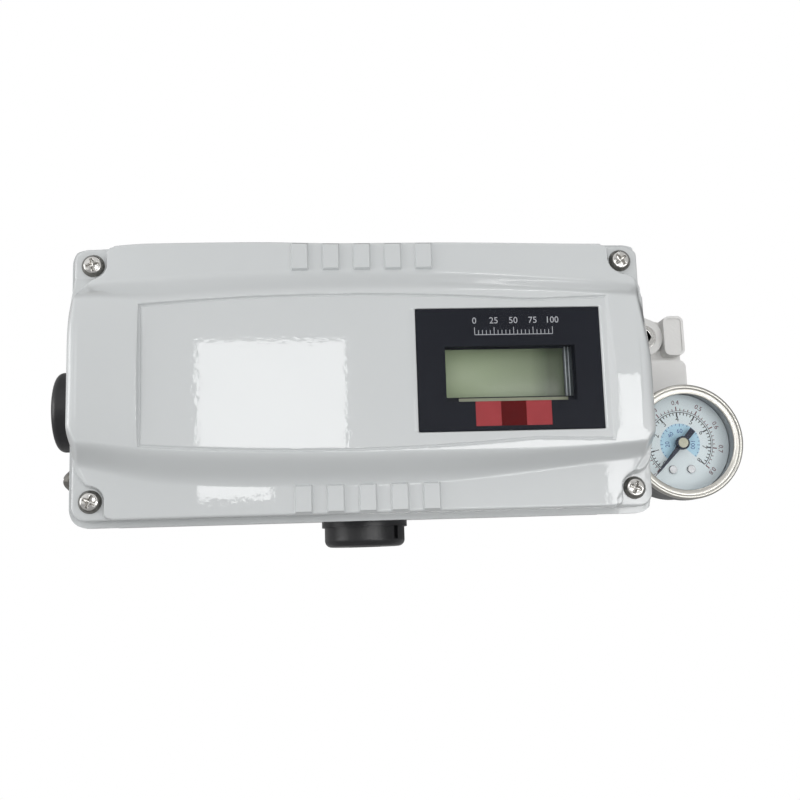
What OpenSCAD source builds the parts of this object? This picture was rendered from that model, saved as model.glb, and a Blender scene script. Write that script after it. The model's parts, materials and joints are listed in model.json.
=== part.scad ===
// Valve positioner: a die-cast box with a crowned cover and a display window, an air manifold with a
// pressure gauge on its right side, and a feedback shaft at the back that the valve stem turns.
// Pieces are drawn in plan: x to the right, y upwards, z from the mounting face towards the viewer.
// front() then turns the plan so that z becomes the frame's -Y and y becomes its +Z.

/* [Housing] */
// Width of base and cover
body_w = 202; // [196:1:220]
// Height of base and cover
body_h = 96; // [94:1:108]
// Depth of the base, from the mounting face to its rim
base_d = 58; // [58:1:68]
// Corner radius of base and cover
corner_r = 5; // [3:0.5:6]
// Thickness of the side walls
wall = 4; // [3:0.5:4.5]
// Thickness of the rear wall
rear_wall = 5; // [4:0.5:6]
// How far the right side steps in behind the rim, to make room for manifold and gauge
side_recess = 7; // [6:0.5:8]
// Height of that step
side_recess_h = 75; // [74:0.5:76]
// Thickness of the rim above the step
rim_t = 3.5; // [2.5:0.5:4]
// How far the base's rim stands out around the cover
rim_out = 2.2; // [1:0.1:2.6]
// Pitch of the square of tapped holes in the mounting face
mount_pitch = 50; // [48:1:54]
// Radius of the tapped mounting holes
mount_r = 3.4; // [3:0.1:4]
// Depth of the tapped mounting holes
mount_deep = 10; // [8:0.5:11]

/* [Cover] */
// Thickness of the sealing gasket under the cover
gasket_t = 1; // [0.6:0.1:2]
// Thickness of the flange under the screw heads
flange_t = 4; // [3:0.5:6]
// Height of the shelf above the screw pads, at the middle
shelf_h = 4.5; // [4:0.5:6]
// How much lower the shelf is at its ends
shelf_bow = 2.5; // [1:0.5:3]
// Height of the crown above the screw pads
crown_h = 13; // [11:0.5:15]
// Width of the shelf between the crown's foot and the edge, at the middle
shelf_w = 14.5; // [13:0.5:17]
// How much the crown narrows towards its ends
crown_bow = 5.2; // [4:0.2:7]
// Radius of the crown's arched section
crown_arch_r = 350; // [300:10:500]
// Radius of the crown's rounded ends
crown_end_r = 5; // [3:0.5:7]
// Lean of the crown's side walls, degrees from upright
crown_lean = 22; // [10:1:30]
// Width of the soft edge along the crest
crest_w = 1.2; // [0.8:0.1:2]
// Wall of the hollow crown
crown_t = 3.5; // [3:0.5:4]
// Depth of the flat field below the crown's top
field_deep = 1.3; // [1:0.1:1.8]
// Half height of the flat field at its widest
field_half = 27.3; // [25:0.1:28]
// Radius of the field's long edges
field_r = 800; // [600:20:1200]
// Place of the field's widest point
field_x = -8; // [-20:1:10]
// Distance of the field from the left end
field_left = 24.4; // [20:0.2:30]
// Distance of the field from the right end
field_right = 16; // [14:0.2:17]
// Half height of the field where it widens to the right end
field_flare = 25.5; // [24.5:0.1:25.6]
// Length of that widening
field_flare_l = 28; // [20:1:40]
// Inset of the cover screws from the outline
screw_inset = 6.5; // [6:0.25:7]
// Radius of the round pocket about each cover screw
pocket_r = 5.3; // [5:0.1:6]
// Length of the right pockets along the end
pocket_l = 19; // [17:0.5:22]
// Radius of the right pockets' run-out into the end
pocket_out_r = 8; // [7:0.5:9]
// Length of the left pockets along the end
pocket_left_l = 24; // [22:0.5:25]
// Radius of the left pockets' run-out into the end
pocket_left_r = 17; // [15:0.5:18]
// Radius of the pockets' run-out into the long edge
pocket_flare_r = 2.5; // [1.5:0.5:4]
// Number of ribs on each long edge
rib_n = 5; // [1:1:7]
// Pitch of the ribs
rib_pitch = 11; // [9:0.5:13]
// Width of a rib
rib_w = 6; // [4:0.5:7]
// Length of a rib
rib_l = 9.5; // [8:0.5:11]
// Height of a rib above the shelf
rib_h = 1; // [0.6:0.1:1.6]
// Distance of the ribs from the edge
rib_in = 0.5; // [0.3:0.1:1.5]
// Radius of the cover screws' shanks
screw_r = 2; // [1.5:0.1:2.2]
// Radius of the cover screws' heads
screw_head_r = 4; // [3.5:0.1:4.2]
// Height of the cover screws' heads
screw_head_h = 2.6; // [2:0.1:3.2]
// Length of the cover screws below the head
screw_l = 16; // [12:1:20]

/* [Display] */
// Width of the window pane
window_w = 64.2; // [60:0.2:66]
// Distance of the pane from the crown's foot, at the crown's ends
window_side = 7.05; // [6.8:0.05:8]
// Corner radius of the window pane
window_r = 1; // [0.5:0.1:3]
// Distance of the pane from the right end
window_end = 18.9; // [18.4:0.1:21]
// Thickness of the pane
pane_t = 3; // [2:0.2:3.2]
// Thickness of the printed mask behind the pane
mask_t = 0.3; // [0.2:0.1:0.5]
// Thickness of the seal under the pane
seal_t = 0.6; // [0.4:0.1:1]
// Thickness of the ledge that carries the pane
ledge_t = 2.5; // [2:0.5:3]
// Width of the opening in the mask
view_w = 45.2; // [40:0.2:48]
// Height of the opening in the mask
view_h = 20.2; // [16:0.2:24]
// Drop of that opening below the middle of the pane
view_drop = 1.7; // [0:0.1:2.5]
// Width of the opening in the ledge
ledge_open_w = 52; // [50:1:54]
// Width of the ledge above and below that opening
ledge_side = 6.25; // [5.25:0.25:7]
// Width of the LCD frame
lcd_w = 50; // [49:0.5:51]
// Height of the LCD frame
lcd_h = 23; // [22:0.5:24]
// Width of the LCD glass
lcd_glass_w = 43.5; // [40:0.5:46]
// Height of the LCD glass
lcd_glass_h = 17.6; // [16:0.2:19]
// How far the LCD sits to the left of the window's middle
lcd_left = 1.4; // [0:0.1:2]
// Distance from the seal's ledge back to the LCD glass
lcd_back = 2.8; // [2.6:0.1:3.4]
// Height of the LCD frame above its board
lcd_t = 5.6; // [5:0.2:7]
// Width of the display board
board_w = 60; // [58:1:66]
// Gap between the display board and the crown's inner walls
board_gap = 0.9; // [0.6:0.1:2]
// Thickness of the circuit boards
board_t = 1.6; // [1:0.1:2.4]
// Pitch of the setting keys
key_pitch = 12; // [10:0.5:14]
// Radius of a key
key_r = 1.75; // [1.5:0.05:2]
// Travel of a key
key_travel = 0.5; // [0.3:0.1:0.8]
// Side of a key's switch base
key_base = 6; // [5:0.5:7]
// Height of a key's switch base
key_base_h = 3; // [2.5:0.1:3.5]
// Height of a key above its base
key_out = 1.6; // [1:0.1:2]

/* [Manifold] */
// Width of the manifold, away from the housing
mani_w = 36; // [35:1:42]
// Depth of the lower block
mani_d = 22.5; // [22:0.5:24]
// Depth of the upper block
mani_upper_d = 16.5; // [15.5:0.5:17.5]
// Lowest edge of the manifold
mani_low = -36; // [-37:0.5:-36]
// Edge between the lower and upper block
mani_step = 12; // [10:0.5:13]
// Top edge of the manifold
mani_top = 34; // [32:0.5:36]
// Corner radius of the manifold
mani_r = 3; // [1:0.5:4]
// Spacing of the air ports
port_pitch = 22; // [21:0.5:22]
// Radius of the air ports
port_r = 5.75; // [5:0.05:5.9]
// Depth of the air ports
port_deep = 11; // [9:0.5:11.5]
// Distance of the air ports from the mounting face
port_d = 8.5; // [8.5:0.25:9]
// Radius of the air galleries
gallery_r = 2.5; // [1.5:0.1:2.6]
// Radius of the gauge ports
gauge_port_r = 4.86; // [4.6:0.02:5]
// Radius of the boss about the upper gauge port
boss_r = 7.6; // [7:0.1:8]
// Height of that boss above the upper block
boss_h = 4; // [3:0.5:6]
// Distance of the gauge ports from the manifold's inner face
plug_in = 20.4; // [20:0.2:21]
// Width of the marker pad
pad_w = 8.2; // [7.6:0.2:8.4]
// Length of the marker pad
pad_l = 16; // [14:0.5:17]
// Height of the marker pad above the lower block
pad_out = 0.5; // [0:0.1:1.5]
// Radius of the hollow sweep above the boss
sweep_r = 14.1; // [13:0.1:15]

/* [Gauge] */
// Outer radius of the gauge's bezel
gauge_r = 21.25; // [20:0.05:21.5]
// Depth of the gauge, from bezel to back
gauge_d = 24; // [23:0.5:24.4]
// Length of the hexagon behind the gauge
stem_hex_l = 7; // [6:0.5:7]
// Across flats of that hexagon
stem_hex = 12; // [10:0.5:14]
// Length of the stem's thread
stem_thread_l = 7; // [5:0.5:7]
// Distance of the gauge's axis from the manifold's inner face
gauge_in = 23.3; // [23.2:0.1:24]
// Place of the gauge's axis above the shaft
gauge_y = -24.4; // [-25:0.1:-22]
// Width of the bezel's face
bezel_w = 3.5; // [2.5:0.1:4]
// Depth of the bezel
bezel_d = 7.5; // [6.5:0.5:9]
// Distance of the dial behind the bezel's face
dial_deep = 8.5; // [7.5:0.5:8.5]
// Length of the pointer
pointer_l = 15.3; // [12:0.1:15.6]
// Angle of the pointer at zero, from the x axis
pointer_zero = 228; // [220:1:235]

/* [Conduits and earth] */
// Radius of the conduit bores
conduit_r = 10.5; // [9:0.1:11]
// Radius of the plug heads
plug_r = 16; // [14.5:0.5:17]
// Height of the plug heads
plug_h = 9.5; // [7:0.5:12]
// Distance of the conduits from the mounting face
conduit_d = 29; // [28:0.5:31]
// Place of the left conduit above the shaft
left_conduit_y = -5.4; // [-7:0.2:-3]
// Height of the base's pad about the left conduit
conduit_pad_h = 1.9; // [1:0.1:3]
// Place of the earth screw above the base's lower side
earth_up = 15.5; // [15:0.5:18]
// Distance of the earth screw from the mounting face
earth_d = 44; // [42:1:46]
// Height of the base's pad under the earth screw
earth_pad_h = 2.5; // [1.5:0.5:3]

/* [Shaft and feedback] */
// Radius of the feedback shaft
shaft_r = 5; // [4:0.25:6]
// Radius of the shaft's end, where a coupling goes on
shaft_end_r = 4; // [3:0.25:4.5]
// How far the shaft stands out behind the mounting face
shaft_out = 16; // [12:1:24]
// Gear module
gear_m = 1; // [0.9:0.02:1.04]
// Teeth of the shaft's gear
gear_n = 48; // [46:2:48]
// Teeth of the potentiometer's pinion
pinion_n = 16; // [15:1:18]
// Direction of the potentiometer from the shaft
mesh_angle = 150; // [148:1:154]
// Thickness of the gear
gear_t = 6; // [4:0.5:7]
// Radius of the potentiometer
pot_r = 11; // [9:0.5:12]
// Length of the potentiometer
pot_l = 12; // [8:0.5:16]

/* [Pilot valve and torque motor] */
// Width of the pilot valve's body
pilot_w = 28; // [27:0.5:29]
// Depth of the pilot valve's body
pilot_d = 29; // [27:0.5:31]
// Top of the pilot valve's body
pilot_top = 6; // [5:0.5:6.5]
// Lower end of the pilot valve's body
pilot_low = -38; // [-39:0.5:-37]
// Radius of the spool
spool_r = 4; // [3.5:0.1:4.5]
// Travel of the spool to each side
spool_travel = 1.5; // [1:0.1:2]
// Place of the flapper above the shaft
flapper_y = 15; // [14.6:0.1:16]
// Gap between nozzle and flapper
nozzle_gap = 0.7; // [0.6:0.05:1]

/* [Clearances] */
// Loose fit about a screw, a stub or an insert
loose = 0.1; // [0.05:0.05:0.2]
// Running fit of shafts, pins and slides
running = 0.04; // [0.02:0.01:0.08]
// Gap about the pane and between pieces that don't touch
gap = 0.3; // [0.2:0.05:0.5]

/* [Hidden] */
$fn = 48;
large_fn = 900;
eps = 0.01;

// Outline and cavity
half_w = body_w / 2;
half_h = body_h / 2;
side_x = half_w - side_recess;
in_left = -half_w + wall;
in_right = side_x - wall;
in_half = half_h - wall;
column_r = screw_r + 2.4;
screw_x = half_w - screw_inset;
screw_y = half_h - screw_inset;
screw_at = [for (sx = [-1, 1], sy = [-1, 1]) [sx * screw_x, sy * screw_y]];

// Levels of the cover above the mounting face
cover_z = base_d + gasket_t;
pad_z = cover_z + flange_t;
shelf_z = pad_z + shelf_h;
crown_z = pad_z + crown_h;
field_z = crown_z - field_deep;
foot = half_h - shelf_w;
crown_r = (half_w * half_w + crown_bow * crown_bow) / (2 * crown_bow);
shelf_r = (half_w * half_w + shelf_bow * shelf_bow) / (2 * shelf_bow);
crest_z = crown_z - pow(foot - crown_h * tan(crown_lean) / 2, 2) / (2 * crown_arch_r);
crest_y = foot - (crest_z - shelf_z) * tan(crown_lean);
hollow_z = field_z - crown_t;
hollow_half = foot - crown_bow - crown_t - (crest_z - shelf_z) * tan(crown_lean);
shallow_z = pad_z + shelf_h - shelf_bow - crown_t;
gasket_in = 1;
ledge_rim = 3;
ledge_r = 2;

// Levels of the display
window_h = 2 * (foot - crown_bow - window_side);
ledge_open_h = window_h - 2 * ledge_side;
board_h = 2 * (hollow_half - board_gap);
window_x = half_w - window_end - window_w / 2;
lcd_x = window_x - lcd_left;
pane_z = field_z - pane_t;
mask_z = pane_z - mask_t;
ledge_z = mask_z - seal_t;
ledge_low = ledge_z - ledge_t;
lcd_z = ledge_z - lcd_back;
board_z = lcd_z - lcd_t - board_t;
key_z = board_z + board_t;
key_y = -board_h / 2 + key_base / 2 + 2;
lcd_y = key_y + key_base / 2 + 1 + lcd_h / 2;
lcd_glass_t = 1.8;
lcd_glass_deep = lcd_glass_t + 0.2;
key_floor = 0.5;

// Levels and places inside the base
main_board_z = conduit_d + conduit_r + 6.5;
main_x0 = in_left + 7.5;
main_x1 = in_right - 6;
main_low = 16;
main_y0 = main_low - half_h;
main_y1 = in_half - 4;
post_r = 3;
conduit_boss_r = conduit_r + 4.5;
conduit_boss_l = 12;
mount_boss_r = mount_r + 4.4;
mount_boss_l = mount_deep + 2;
earth_y = earth_up - half_h;
earth_r = 2.5;
earth_boss_l = 6;
wall_boss_r = 4.5;
stud_r = 1.2;
stud_out = 1;
stud_deep = 3;
board_inset = 4;

// Feedback shaft
shaft_step = 2;
bush_r = shaft_r + 2;
bush_boss_r = bush_r + 4;
seal_ring_r = 0.95;
seal_l = 2.4;
bush_l = 7.5;
bush_end = seal_l + 1 + bush_l;
clip_t = 1;
clip_z = bush_end + gap;
gear_z = clip_z + clip_t + gap;
shaft_front = gear_z + gear_t + 4;
mesh_l = gear_m * (gear_n + pinion_n) / 2;
pot_x = mesh_l * cos(mesh_angle);
pot_y = mesh_l * sin(mesh_angle);
bracket_t = 1.5;
bracket_z = gear_z + gear_t + 1;
pot_z = bracket_z + bracket_t;
pot_shaft_r = 3;
pot_shaft_l = 4;
bracket_reach = 12;
bracket_pad_r = 4;
bracket_post_at = [[pot_x - pot_r - bracket_reach, pot_y], [pot_x, in_half - bracket_pad_r - gap]];

// Pilot valve and torque motor
pilot_x = in_right - pilot_w;
spool_in = 7;
spool_up = 11;
spool_x = pilot_x + spool_in;
spool_z = rear_wall + spool_up;
nozzle_in = 12;
nozzle_up = 17;
nozzle_x = in_right - nozzle_in;
flapper_z = rear_wall + nozzle_up;
flapper_t = 0.8;
flapper_w = 5;
yoke_gap = 6.2;
yoke_x = mount_pitch / 2 + mount_boss_r + yoke_gap;
yoke_w = pilot_x - 1 - yoke_x;
yoke_t = 3;
yoke_half = 10;
yoke_window = 4.2;
pivot_x = yoke_x + yoke_t / 2;
pivot_r = 1;
pivot_l = 2.5;

// Manifold and gauge
mani_gasket_t = 1;
mani_x = side_x + mani_gasket_t;
mani_end = mani_x + mani_w;
plug_x = mani_x + plug_in;
gauge_x = mani_x + gauge_in;
port_at = [-port_pitch, 0, port_pitch];
mani_screw_r = 2;
mani_head_r = 3.5;
mani_head_h = 4;
mani_screw_at = [[port_pitch / 2, port_d], [-port_pitch / 2, port_d],
    [-port_pitch - port_r - mani_head_r - 1.15, port_d + 3.5]];
mani_screw_deep = 8;
mani_head_sunk = 0.5;
plug_len = 7;
plug_out = 0.4;
plug_socket = 5;
plug_socket_deep = 4;
bleed_r = 1.5;
sweep_at = [plug_x + 9.6, port_pitch + port_r + sweep_r + 0.95];
pad_r = 2.4;
pad_border = 1;
bezel_z = mani_d + stem_hex_l + gauge_d;
case_z = mani_d + stem_hex_l;
case_r = gauge_r - 1.25;
case_t = 1;
dial_z = bezel_z - dial_deep;
dial_t = 0.5;
dial_screw_at = [[-3.5, -9.6], [3.5, -9.6]];
lens_t = 1.5;
lens_z = bezel_z - 1 - lens_t;
pointer_z = dial_z + dial_t + 2;
pointer_t = 0.6;
arbor_r = 1;
movement_z = dial_z - 4.5;
movement_r = 11.5;
movement_t = 1.5;
movement_boss_r = 5;
movement_boss_h = 5;
dial_screw_r = 0.8;
dial_screw_l = 3;

// Pieces face the viewer
module front() { rotate([90, 0, 0]) children(); }
// A z axis turned to the right, to the left and downwards in the plan
module rightward() { rotate([0, 90, 0]) children(); }
module leftward() { rotate([0, -90, 0]) children(); }
module downward() { rotate([90, 0, 0]) children(); }

module rounded(w, h, r) {
    square([w - 2 * r, h], center = true);
    square([w, h - 2 * r], center = true);
    for (sx = [-1, 1], sy = [-1, 1]) translate([sx * (w / 2 - r), sy * (h / 2 - r)]) circle(r);
}
module slab(w, h, z0, z1, r) { translate([0, 0, z0]) linear_extrude(z1 - z0) rounded(w, h, r); }
module post(at, z0, z1, r) { translate([at[0], at[1], z0]) cylinder(r = r, h = z1 - z0); }
module ring(z0, z1, r_in, r_out) {
    translate([0, 0, z0]) difference() {
        cylinder(r = r_out, h = z1 - z0);
        translate([0, 0, -1]) cylinder(r = r_in, h = z1 - z0 + 2);
    }
}
module hexagon(flats) { circle(r = flats / 2 / cos(30), $fn = 6); }

// Base: an open box with corner columns, bosses for what it carries, a rim and a recessed right side
module cavity_plan() {
    difference() {
        translate([(in_left + in_right) / 2, 0]) square([in_right - in_left, 2 * in_half], center = true);
        for (p = screw_at) translate(p) circle(column_r);
    }
}
module conduit_left(z0) {
    translate([-half_w - conduit_pad_h, left_conduit_y, conduit_d]) leftward()
        translate([0, 0, z0]) children();
}
module conduit_bottom(z0) {
    translate([0, -half_h, conduit_d]) downward() translate([0, 0, z0]) children();
}
module earth_place(z0) {
    translate([-half_w, earth_y, earth_d]) leftward() translate([0, 0, z0]) children();
}
mount_at = [for (sx = [-1, 1], sy = [-1, 1]) [sx * mount_pitch / 2, sy * mount_pitch / 2]];

module base_housing() {
    boss_l = wall + conduit_boss_l;
    earth_l = wall + earth_boss_l;
    wall_boss_l = mani_screw_deep - wall + 3;
    color("lightgray") front() difference() {
        union() {
            difference() {
                union() {
                    slab(body_w, body_h, 0, base_d, corner_r);
                    slab(body_w + 2 * rim_out, body_h + 2 * rim_out, base_d - rim_t, base_d,
                        corner_r + rim_out);
                }
                translate([0, 0, rear_wall]) linear_extrude(base_d) cavity_plan();
                translate([side_x, -side_recess_h / 2, -1])
                    cube([side_recess + 1, side_recess_h, base_d - rim_t + 1]);
            }
            for (p = mount_at) post(p, rear_wall - eps, mount_boss_l, mount_boss_r);
            post([0, 0], rear_wall - eps, bush_end, bush_boss_r);
            conduit_left(-boss_l) cylinder(r = conduit_boss_r, h = boss_l - wall - conduit_pad_h + eps);
            conduit_left(-conduit_pad_h - wall / 2)
                cylinder(r = plug_r + 1.5, h = conduit_pad_h + wall / 2);
            earth_place(-wall / 2) cylinder(r = earth_pad_r, h = earth_pad_h + wall / 2);
            conduit_bottom(-boss_l) cylinder(r = conduit_boss_r, h = boss_l - wall + eps);
            earth_place(-earth_l) cylinder(r = earth_r + 3.5, h = earth_l - wall + eps);
            translate([in_right - wall_boss_l, mani_screw_at[0][0], mani_screw_at[0][1]]) rightward()
                cylinder(r = wall_boss_r, h = wall_boss_l + eps);
        }
        for (p = screw_at) post(p, pad_z - screw_l - 1, base_d + 1, screw_r);
        for (p = mount_at) post(p, -1, mount_deep, mount_r);
        post([0, 0], -1, bush_end + 1, bush_r);
        conduit_left(-boss_l - 1) cylinder(r = conduit_r, h = boss_l + 2);
        conduit_bottom(-boss_l - 1) cylinder(r = conduit_r, h = boss_l + 2);
        earth_place(-earth_l - 1) cylinder(r = earth_r, h = earth_l + earth_pad_h + 2);
        for (p = mani_screw_at) translate([in_right - wall_boss_l - 1, p[0], p[1]]) rightward()
            cylinder(r = mani_screw_r + loose, h = wall + wall_boss_l + 2);
        for (y = [-port_pitch, 0]) translate([in_right - 1, y, port_d]) rightward()
            cylinder(r = gallery_r, h = wall + 2);
    }
}

// Cover: shelf, ribs and crown in one casting. The crown's long walls are parts of large cones.
module crown_side(upper) {
    rise = crown_z + 2 - cover_z;
    foot_r = crown_r + (shelf_z - cover_z) * tan(crown_lean);
    soft_r = crown_r - foot + crest_y + crest_z - crest_w - cover_z;
    translate([0, upper * (foot - crown_r), cover_z]) intersection() {
        cylinder(r1 = foot_r, r2 = foot_r - rise * tan(crown_lean), h = rise, $fn = large_fn);
        cylinder(r1 = soft_r, r2 = soft_r - rise, h = rise, $fn = large_fn);
    }
}
module crown() {
    intersection() {
        crown_side(1);
        crown_side(-1);
        translate([0, half_h, 0]) rotate([90, 0, 0]) linear_extrude(body_h)
            translate([0, crown_z - crown_h]) rounded(body_w, 2 * crown_h, crown_end_r);
        translate([-half_w, 0, crown_z - crown_arch_r]) rightward()
            cylinder(r = crown_arch_r, h = body_w, $fn = large_fn);
    }
}
module shelf() {
    intersection() {
        slab(body_w, body_h, cover_z, shelf_z + 1, corner_r);
        translate([0, half_h, shelf_z - shelf_r]) rotate([90, 0, 0])
            cylinder(r = shelf_r, h = body_h, $fn = large_fn);
    }
}
module field_plan() {
    x0 = -half_w + field_left;
    x1 = half_w - field_right;
    x_turn = x1 - field_flare_l;
    turn_half = field_half - pow(x_turn - field_x, 2) / (2 * field_r);
    intersection() {
        translate([x0, -half_h]) square([x_turn - x0 + eps, body_h]);
        translate([field_x, field_half - field_r]) circle(field_r, $fn = large_fn);
        translate([field_x, field_r - field_half]) circle(field_r, $fn = large_fn);
    }
    polygon([[x_turn, -turn_half], [x1, -field_flare], [x1, field_flare], [x_turn, turn_half]]);
}
module pocket_plan(length, out_r) {
    reach = screw_inset + pocket_r;
    square([reach, screw_inset]);
    translate([screw_inset, screw_inset]) circle(pocket_r);
    square([screw_inset, reach]);
    difference() {
        translate([0, screw_inset]) square([screw_inset, length - screw_inset]);
        translate([out_r, length]) circle(out_r);
    }
    difference() {
        square([reach + pocket_flare_r, pocket_flare_r]);
        translate([reach + pocket_flare_r, pocket_flare_r]) circle(pocket_flare_r);
    }
}
module ribs() {
    for (i = [0 : rib_n - 1], s = [0, 1]) mirror([0, s, 0])
        translate([(i - (rib_n - 1) / 2) * rib_pitch - rib_w / 2, half_h - rib_in - rib_l, pad_z])
            cube([rib_w, rib_l, shelf_z + rib_h - pad_z]);
}
module cover() {
    color("lightgray") front() difference() {
        union() {
            difference() {
                union() {
                    shelf();
                    crown();
                    ribs();
                }
                for (sy = [0, 1]) mirror([0, sy, 0]) {
                    translate([-half_w, -half_h, pad_z]) linear_extrude(crown_h + 2)
                        pocket_plan(pocket_left_l, pocket_left_r);
                    mirror([1, 0, 0]) translate([-half_w, -half_h, pad_z]) linear_extrude(crown_h + 2)
                        pocket_plan(pocket_l, pocket_out_r);
                }
                translate([0, 0, field_z]) linear_extrude(crown_h) field_plan();
                translate([0, 0, cover_z - 1]) linear_extrude(shallow_z - cover_z + 1) cavity_plan();
                translate([(in_left + in_right) / 2, 0, 0])
                    slab(in_right - in_left, 2 * hollow_half, cover_z - 1, hollow_z, crown_t);
            }
            translate([window_x, 0, 0])
                slab(window_w + 2 * ledge_rim, window_h + 2 * ledge_rim, ledge_low, pane_z, ledge_r);
        }
        translate([window_x, 0, 0]) {
            slab(window_w + 2 * gap, window_h + 2 * gap, ledge_z, crown_z + 1, window_r + gap);
            slab(ledge_open_w, ledge_open_h, ledge_low - 1, ledge_z + 1, ledge_r);
        }
        for (p = screw_at) post(p, cover_z - 1, pad_z + 1, screw_r + gap);
    }
}
module cover_gasket() {
    color("dimgray") front() translate([0, 0, base_d]) linear_extrude(gasket_t) difference() {
        rounded(body_w - 2 * gasket_in, body_h - 2 * gasket_in, corner_r - gasket_in);
        cavity_plan();
        for (p = screw_at) translate(p) circle(screw_r + gap);
    }
}
module pan_screw(head_r, head_h, shank_r, length, dome = 2) {
    recess_w = head_r / 4;
    recess_l = head_r * 1.2;
    recess_deep = head_h * 0.6;
    difference() {
        rotate_extrude() intersection() {
            translate([0, -length]) square([head_r, length + head_h]);
            union() {
                translate([0, -length]) square([shank_r, length + eps]);
                translate([0, head_h - dome * head_r]) circle(dome * head_r);
            }
            union() {
                translate([0, -length]) square([shank_r, length + eps]);
                square([head_r, head_h]);
            }
        }
        for (a = [0, 90]) rotate([0, 0, a]) translate([-recess_w / 2, -recess_l / 2, head_h - recess_deep])
            cube([recess_w, recess_l, head_h]);
    }
}
module cover_screws() {
    color("silver") front() for (p = screw_at) translate([p[0], p[1], pad_z])
        pan_screw(screw_head_r, screw_head_h, screw_r - loose / 2, screw_l);
}

// Window and display
module window_pane() {
    color("lightblue", 0.4) front() translate([window_x, 0, 0])
        slab(window_w, window_h, pane_z, field_z, window_r);
}
module window_mask() {
    color("black") front() translate([window_x, 0, 0]) difference() {
        slab(window_w, window_h, mask_z, pane_z, window_r);
        translate([0, -view_drop, 0]) slab(view_w, view_h, mask_z - 1, pane_z + 1, window_r);
    }
}
module window_seal() {
    color("dimgray") front() translate([window_x, 0, 0]) difference() {
        slab(window_w, window_h, ledge_z, mask_z, window_r);
        slab(ledge_open_w, ledge_open_h, ledge_z - 1, mask_z + 1, ledge_r);
    }
}
module lcd_frame() {
    color("gray") front() translate([lcd_x, lcd_y, 0]) difference() {
        slab(lcd_w, lcd_h, key_z, lcd_z, 1);
        translate([0, 0, lcd_z - lcd_glass_deep]) linear_extrude(lcd_glass_deep + 1)
            square([lcd_glass_w + 2 * loose, lcd_glass_h + 2 * loose], center = true);
    }
}
module lcd_glass() {
    color("darkseagreen") front() translate([lcd_x, lcd_y, lcd_z - lcd_glass_deep])
        linear_extrude(lcd_glass_t)
        square([lcd_glass_w, lcd_glass_h], center = true);
}
display_post_at = [for (sx = [-1, 1], sy = [-1, 1])
    [window_x + sx * (board_w / 2 - post_r), sy * (board_h / 2 - post_r)]];
key_at = [for (i = [0 : 3]) [window_x + (i - 1.5) * key_pitch, key_y]];
module display_board() {
    color("darkgreen") front() difference() {
        translate([window_x, 0, 0]) slab(board_w, board_h, board_z, board_z + board_t, 1);
        for (p = display_post_at) post(p, board_z - 1, board_z + board_t + 1, stud_r + loose);
    }
}
module standoff(at, z0, z1) {
    difference() {
        union() {
            post(at, z0, z1, post_r);
            post(at, z1 - eps, z1 + board_t + stud_out, stud_r);
        }
        post(at, z0 - 1, z0 + stud_deep, stud_r);
    }
}
module display_standoffs() {
    color("goldenrod") front() for (p = display_post_at) standoff(p, main_board_z + board_t, board_z);
}
module key_bases() {
    color("black") front() for (p = key_at) difference() {
        translate([p[0], p[1], 0]) slab(key_base, key_base, key_z, key_z + key_base_h, 0.5);
        post(p, key_z + key_floor, key_z + key_base_h + 1, key_r + running);
    }
}
module key(i) {
    color("whitesmoke") front() post(key_at[i], key_z + key_floor + key_travel + gap,
        key_z + key_base_h + key_out, key_r);
}
module key_up() { key(0); }
module key_down() { key(1); }
module key_enter() { key(2); }
module key_escape() { key(3); }

// Boards and terminals in the base
main_post_at = [for (p = [[main_x0, main_y1], [main_x1, main_y1], [main_x0, main_y0],
    [pilot_x - 2, main_y0]])
    [p[0] - sign(p[0]) * board_inset, p[1] - sign(p[1]) * board_inset]];
module main_board() {
    color("darkgreen") front() difference() {
        translate([main_x0, main_y0, main_board_z]) cube([main_x1 - main_x0, main_y1 - main_y0, board_t]);
        for (p = main_post_at) post(p, main_board_z - 1, main_board_z + board_t + 1, stud_r + loose);
    }
}
module board_standoffs() {
    color("goldenrod") front() for (p = main_post_at) standoff(p, rear_wall, main_board_z);
}
terminal_n = 8;
terminal_pitch = 6;
terminal_x = main_x0 + 12;
terminal_y = main_y0 + 6;
terminal_h = 14;
terminal_t = 9;
terminal_floor = 2;
terminal_screw_r = 2;
terminal_screw_y = terminal_y + terminal_h - 5;
wire_w = 4;
module terminal_block() {
    z0 = main_board_z + board_t;
    color("seagreen") front() difference() {
        translate([terminal_x, terminal_y, z0]) cube([terminal_n * terminal_pitch, terminal_h, terminal_t]);
        for (i = [0 : terminal_n - 1]) translate([terminal_x + (i + 0.5) * terminal_pitch, terminal_y, z0]) {
            translate([0, terminal_screw_y - terminal_y, terminal_floor])
                cylinder(r = terminal_screw_r, h = terminal_t);
            translate([-wire_w / 2, -1, terminal_floor]) cube([wire_w, wire_w + 1, wire_w]);
        }
    }
}
module terminal_screws() {
    z0 = main_board_z + board_t + terminal_floor;
    color("silver") front() for (i = [0 : terminal_n - 1])
        post([terminal_x + (i + 0.5) * terminal_pitch, terminal_screw_y],
            z0, z0 + terminal_t - terminal_floor - 1, terminal_screw_r - loose / 2);
}

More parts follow.
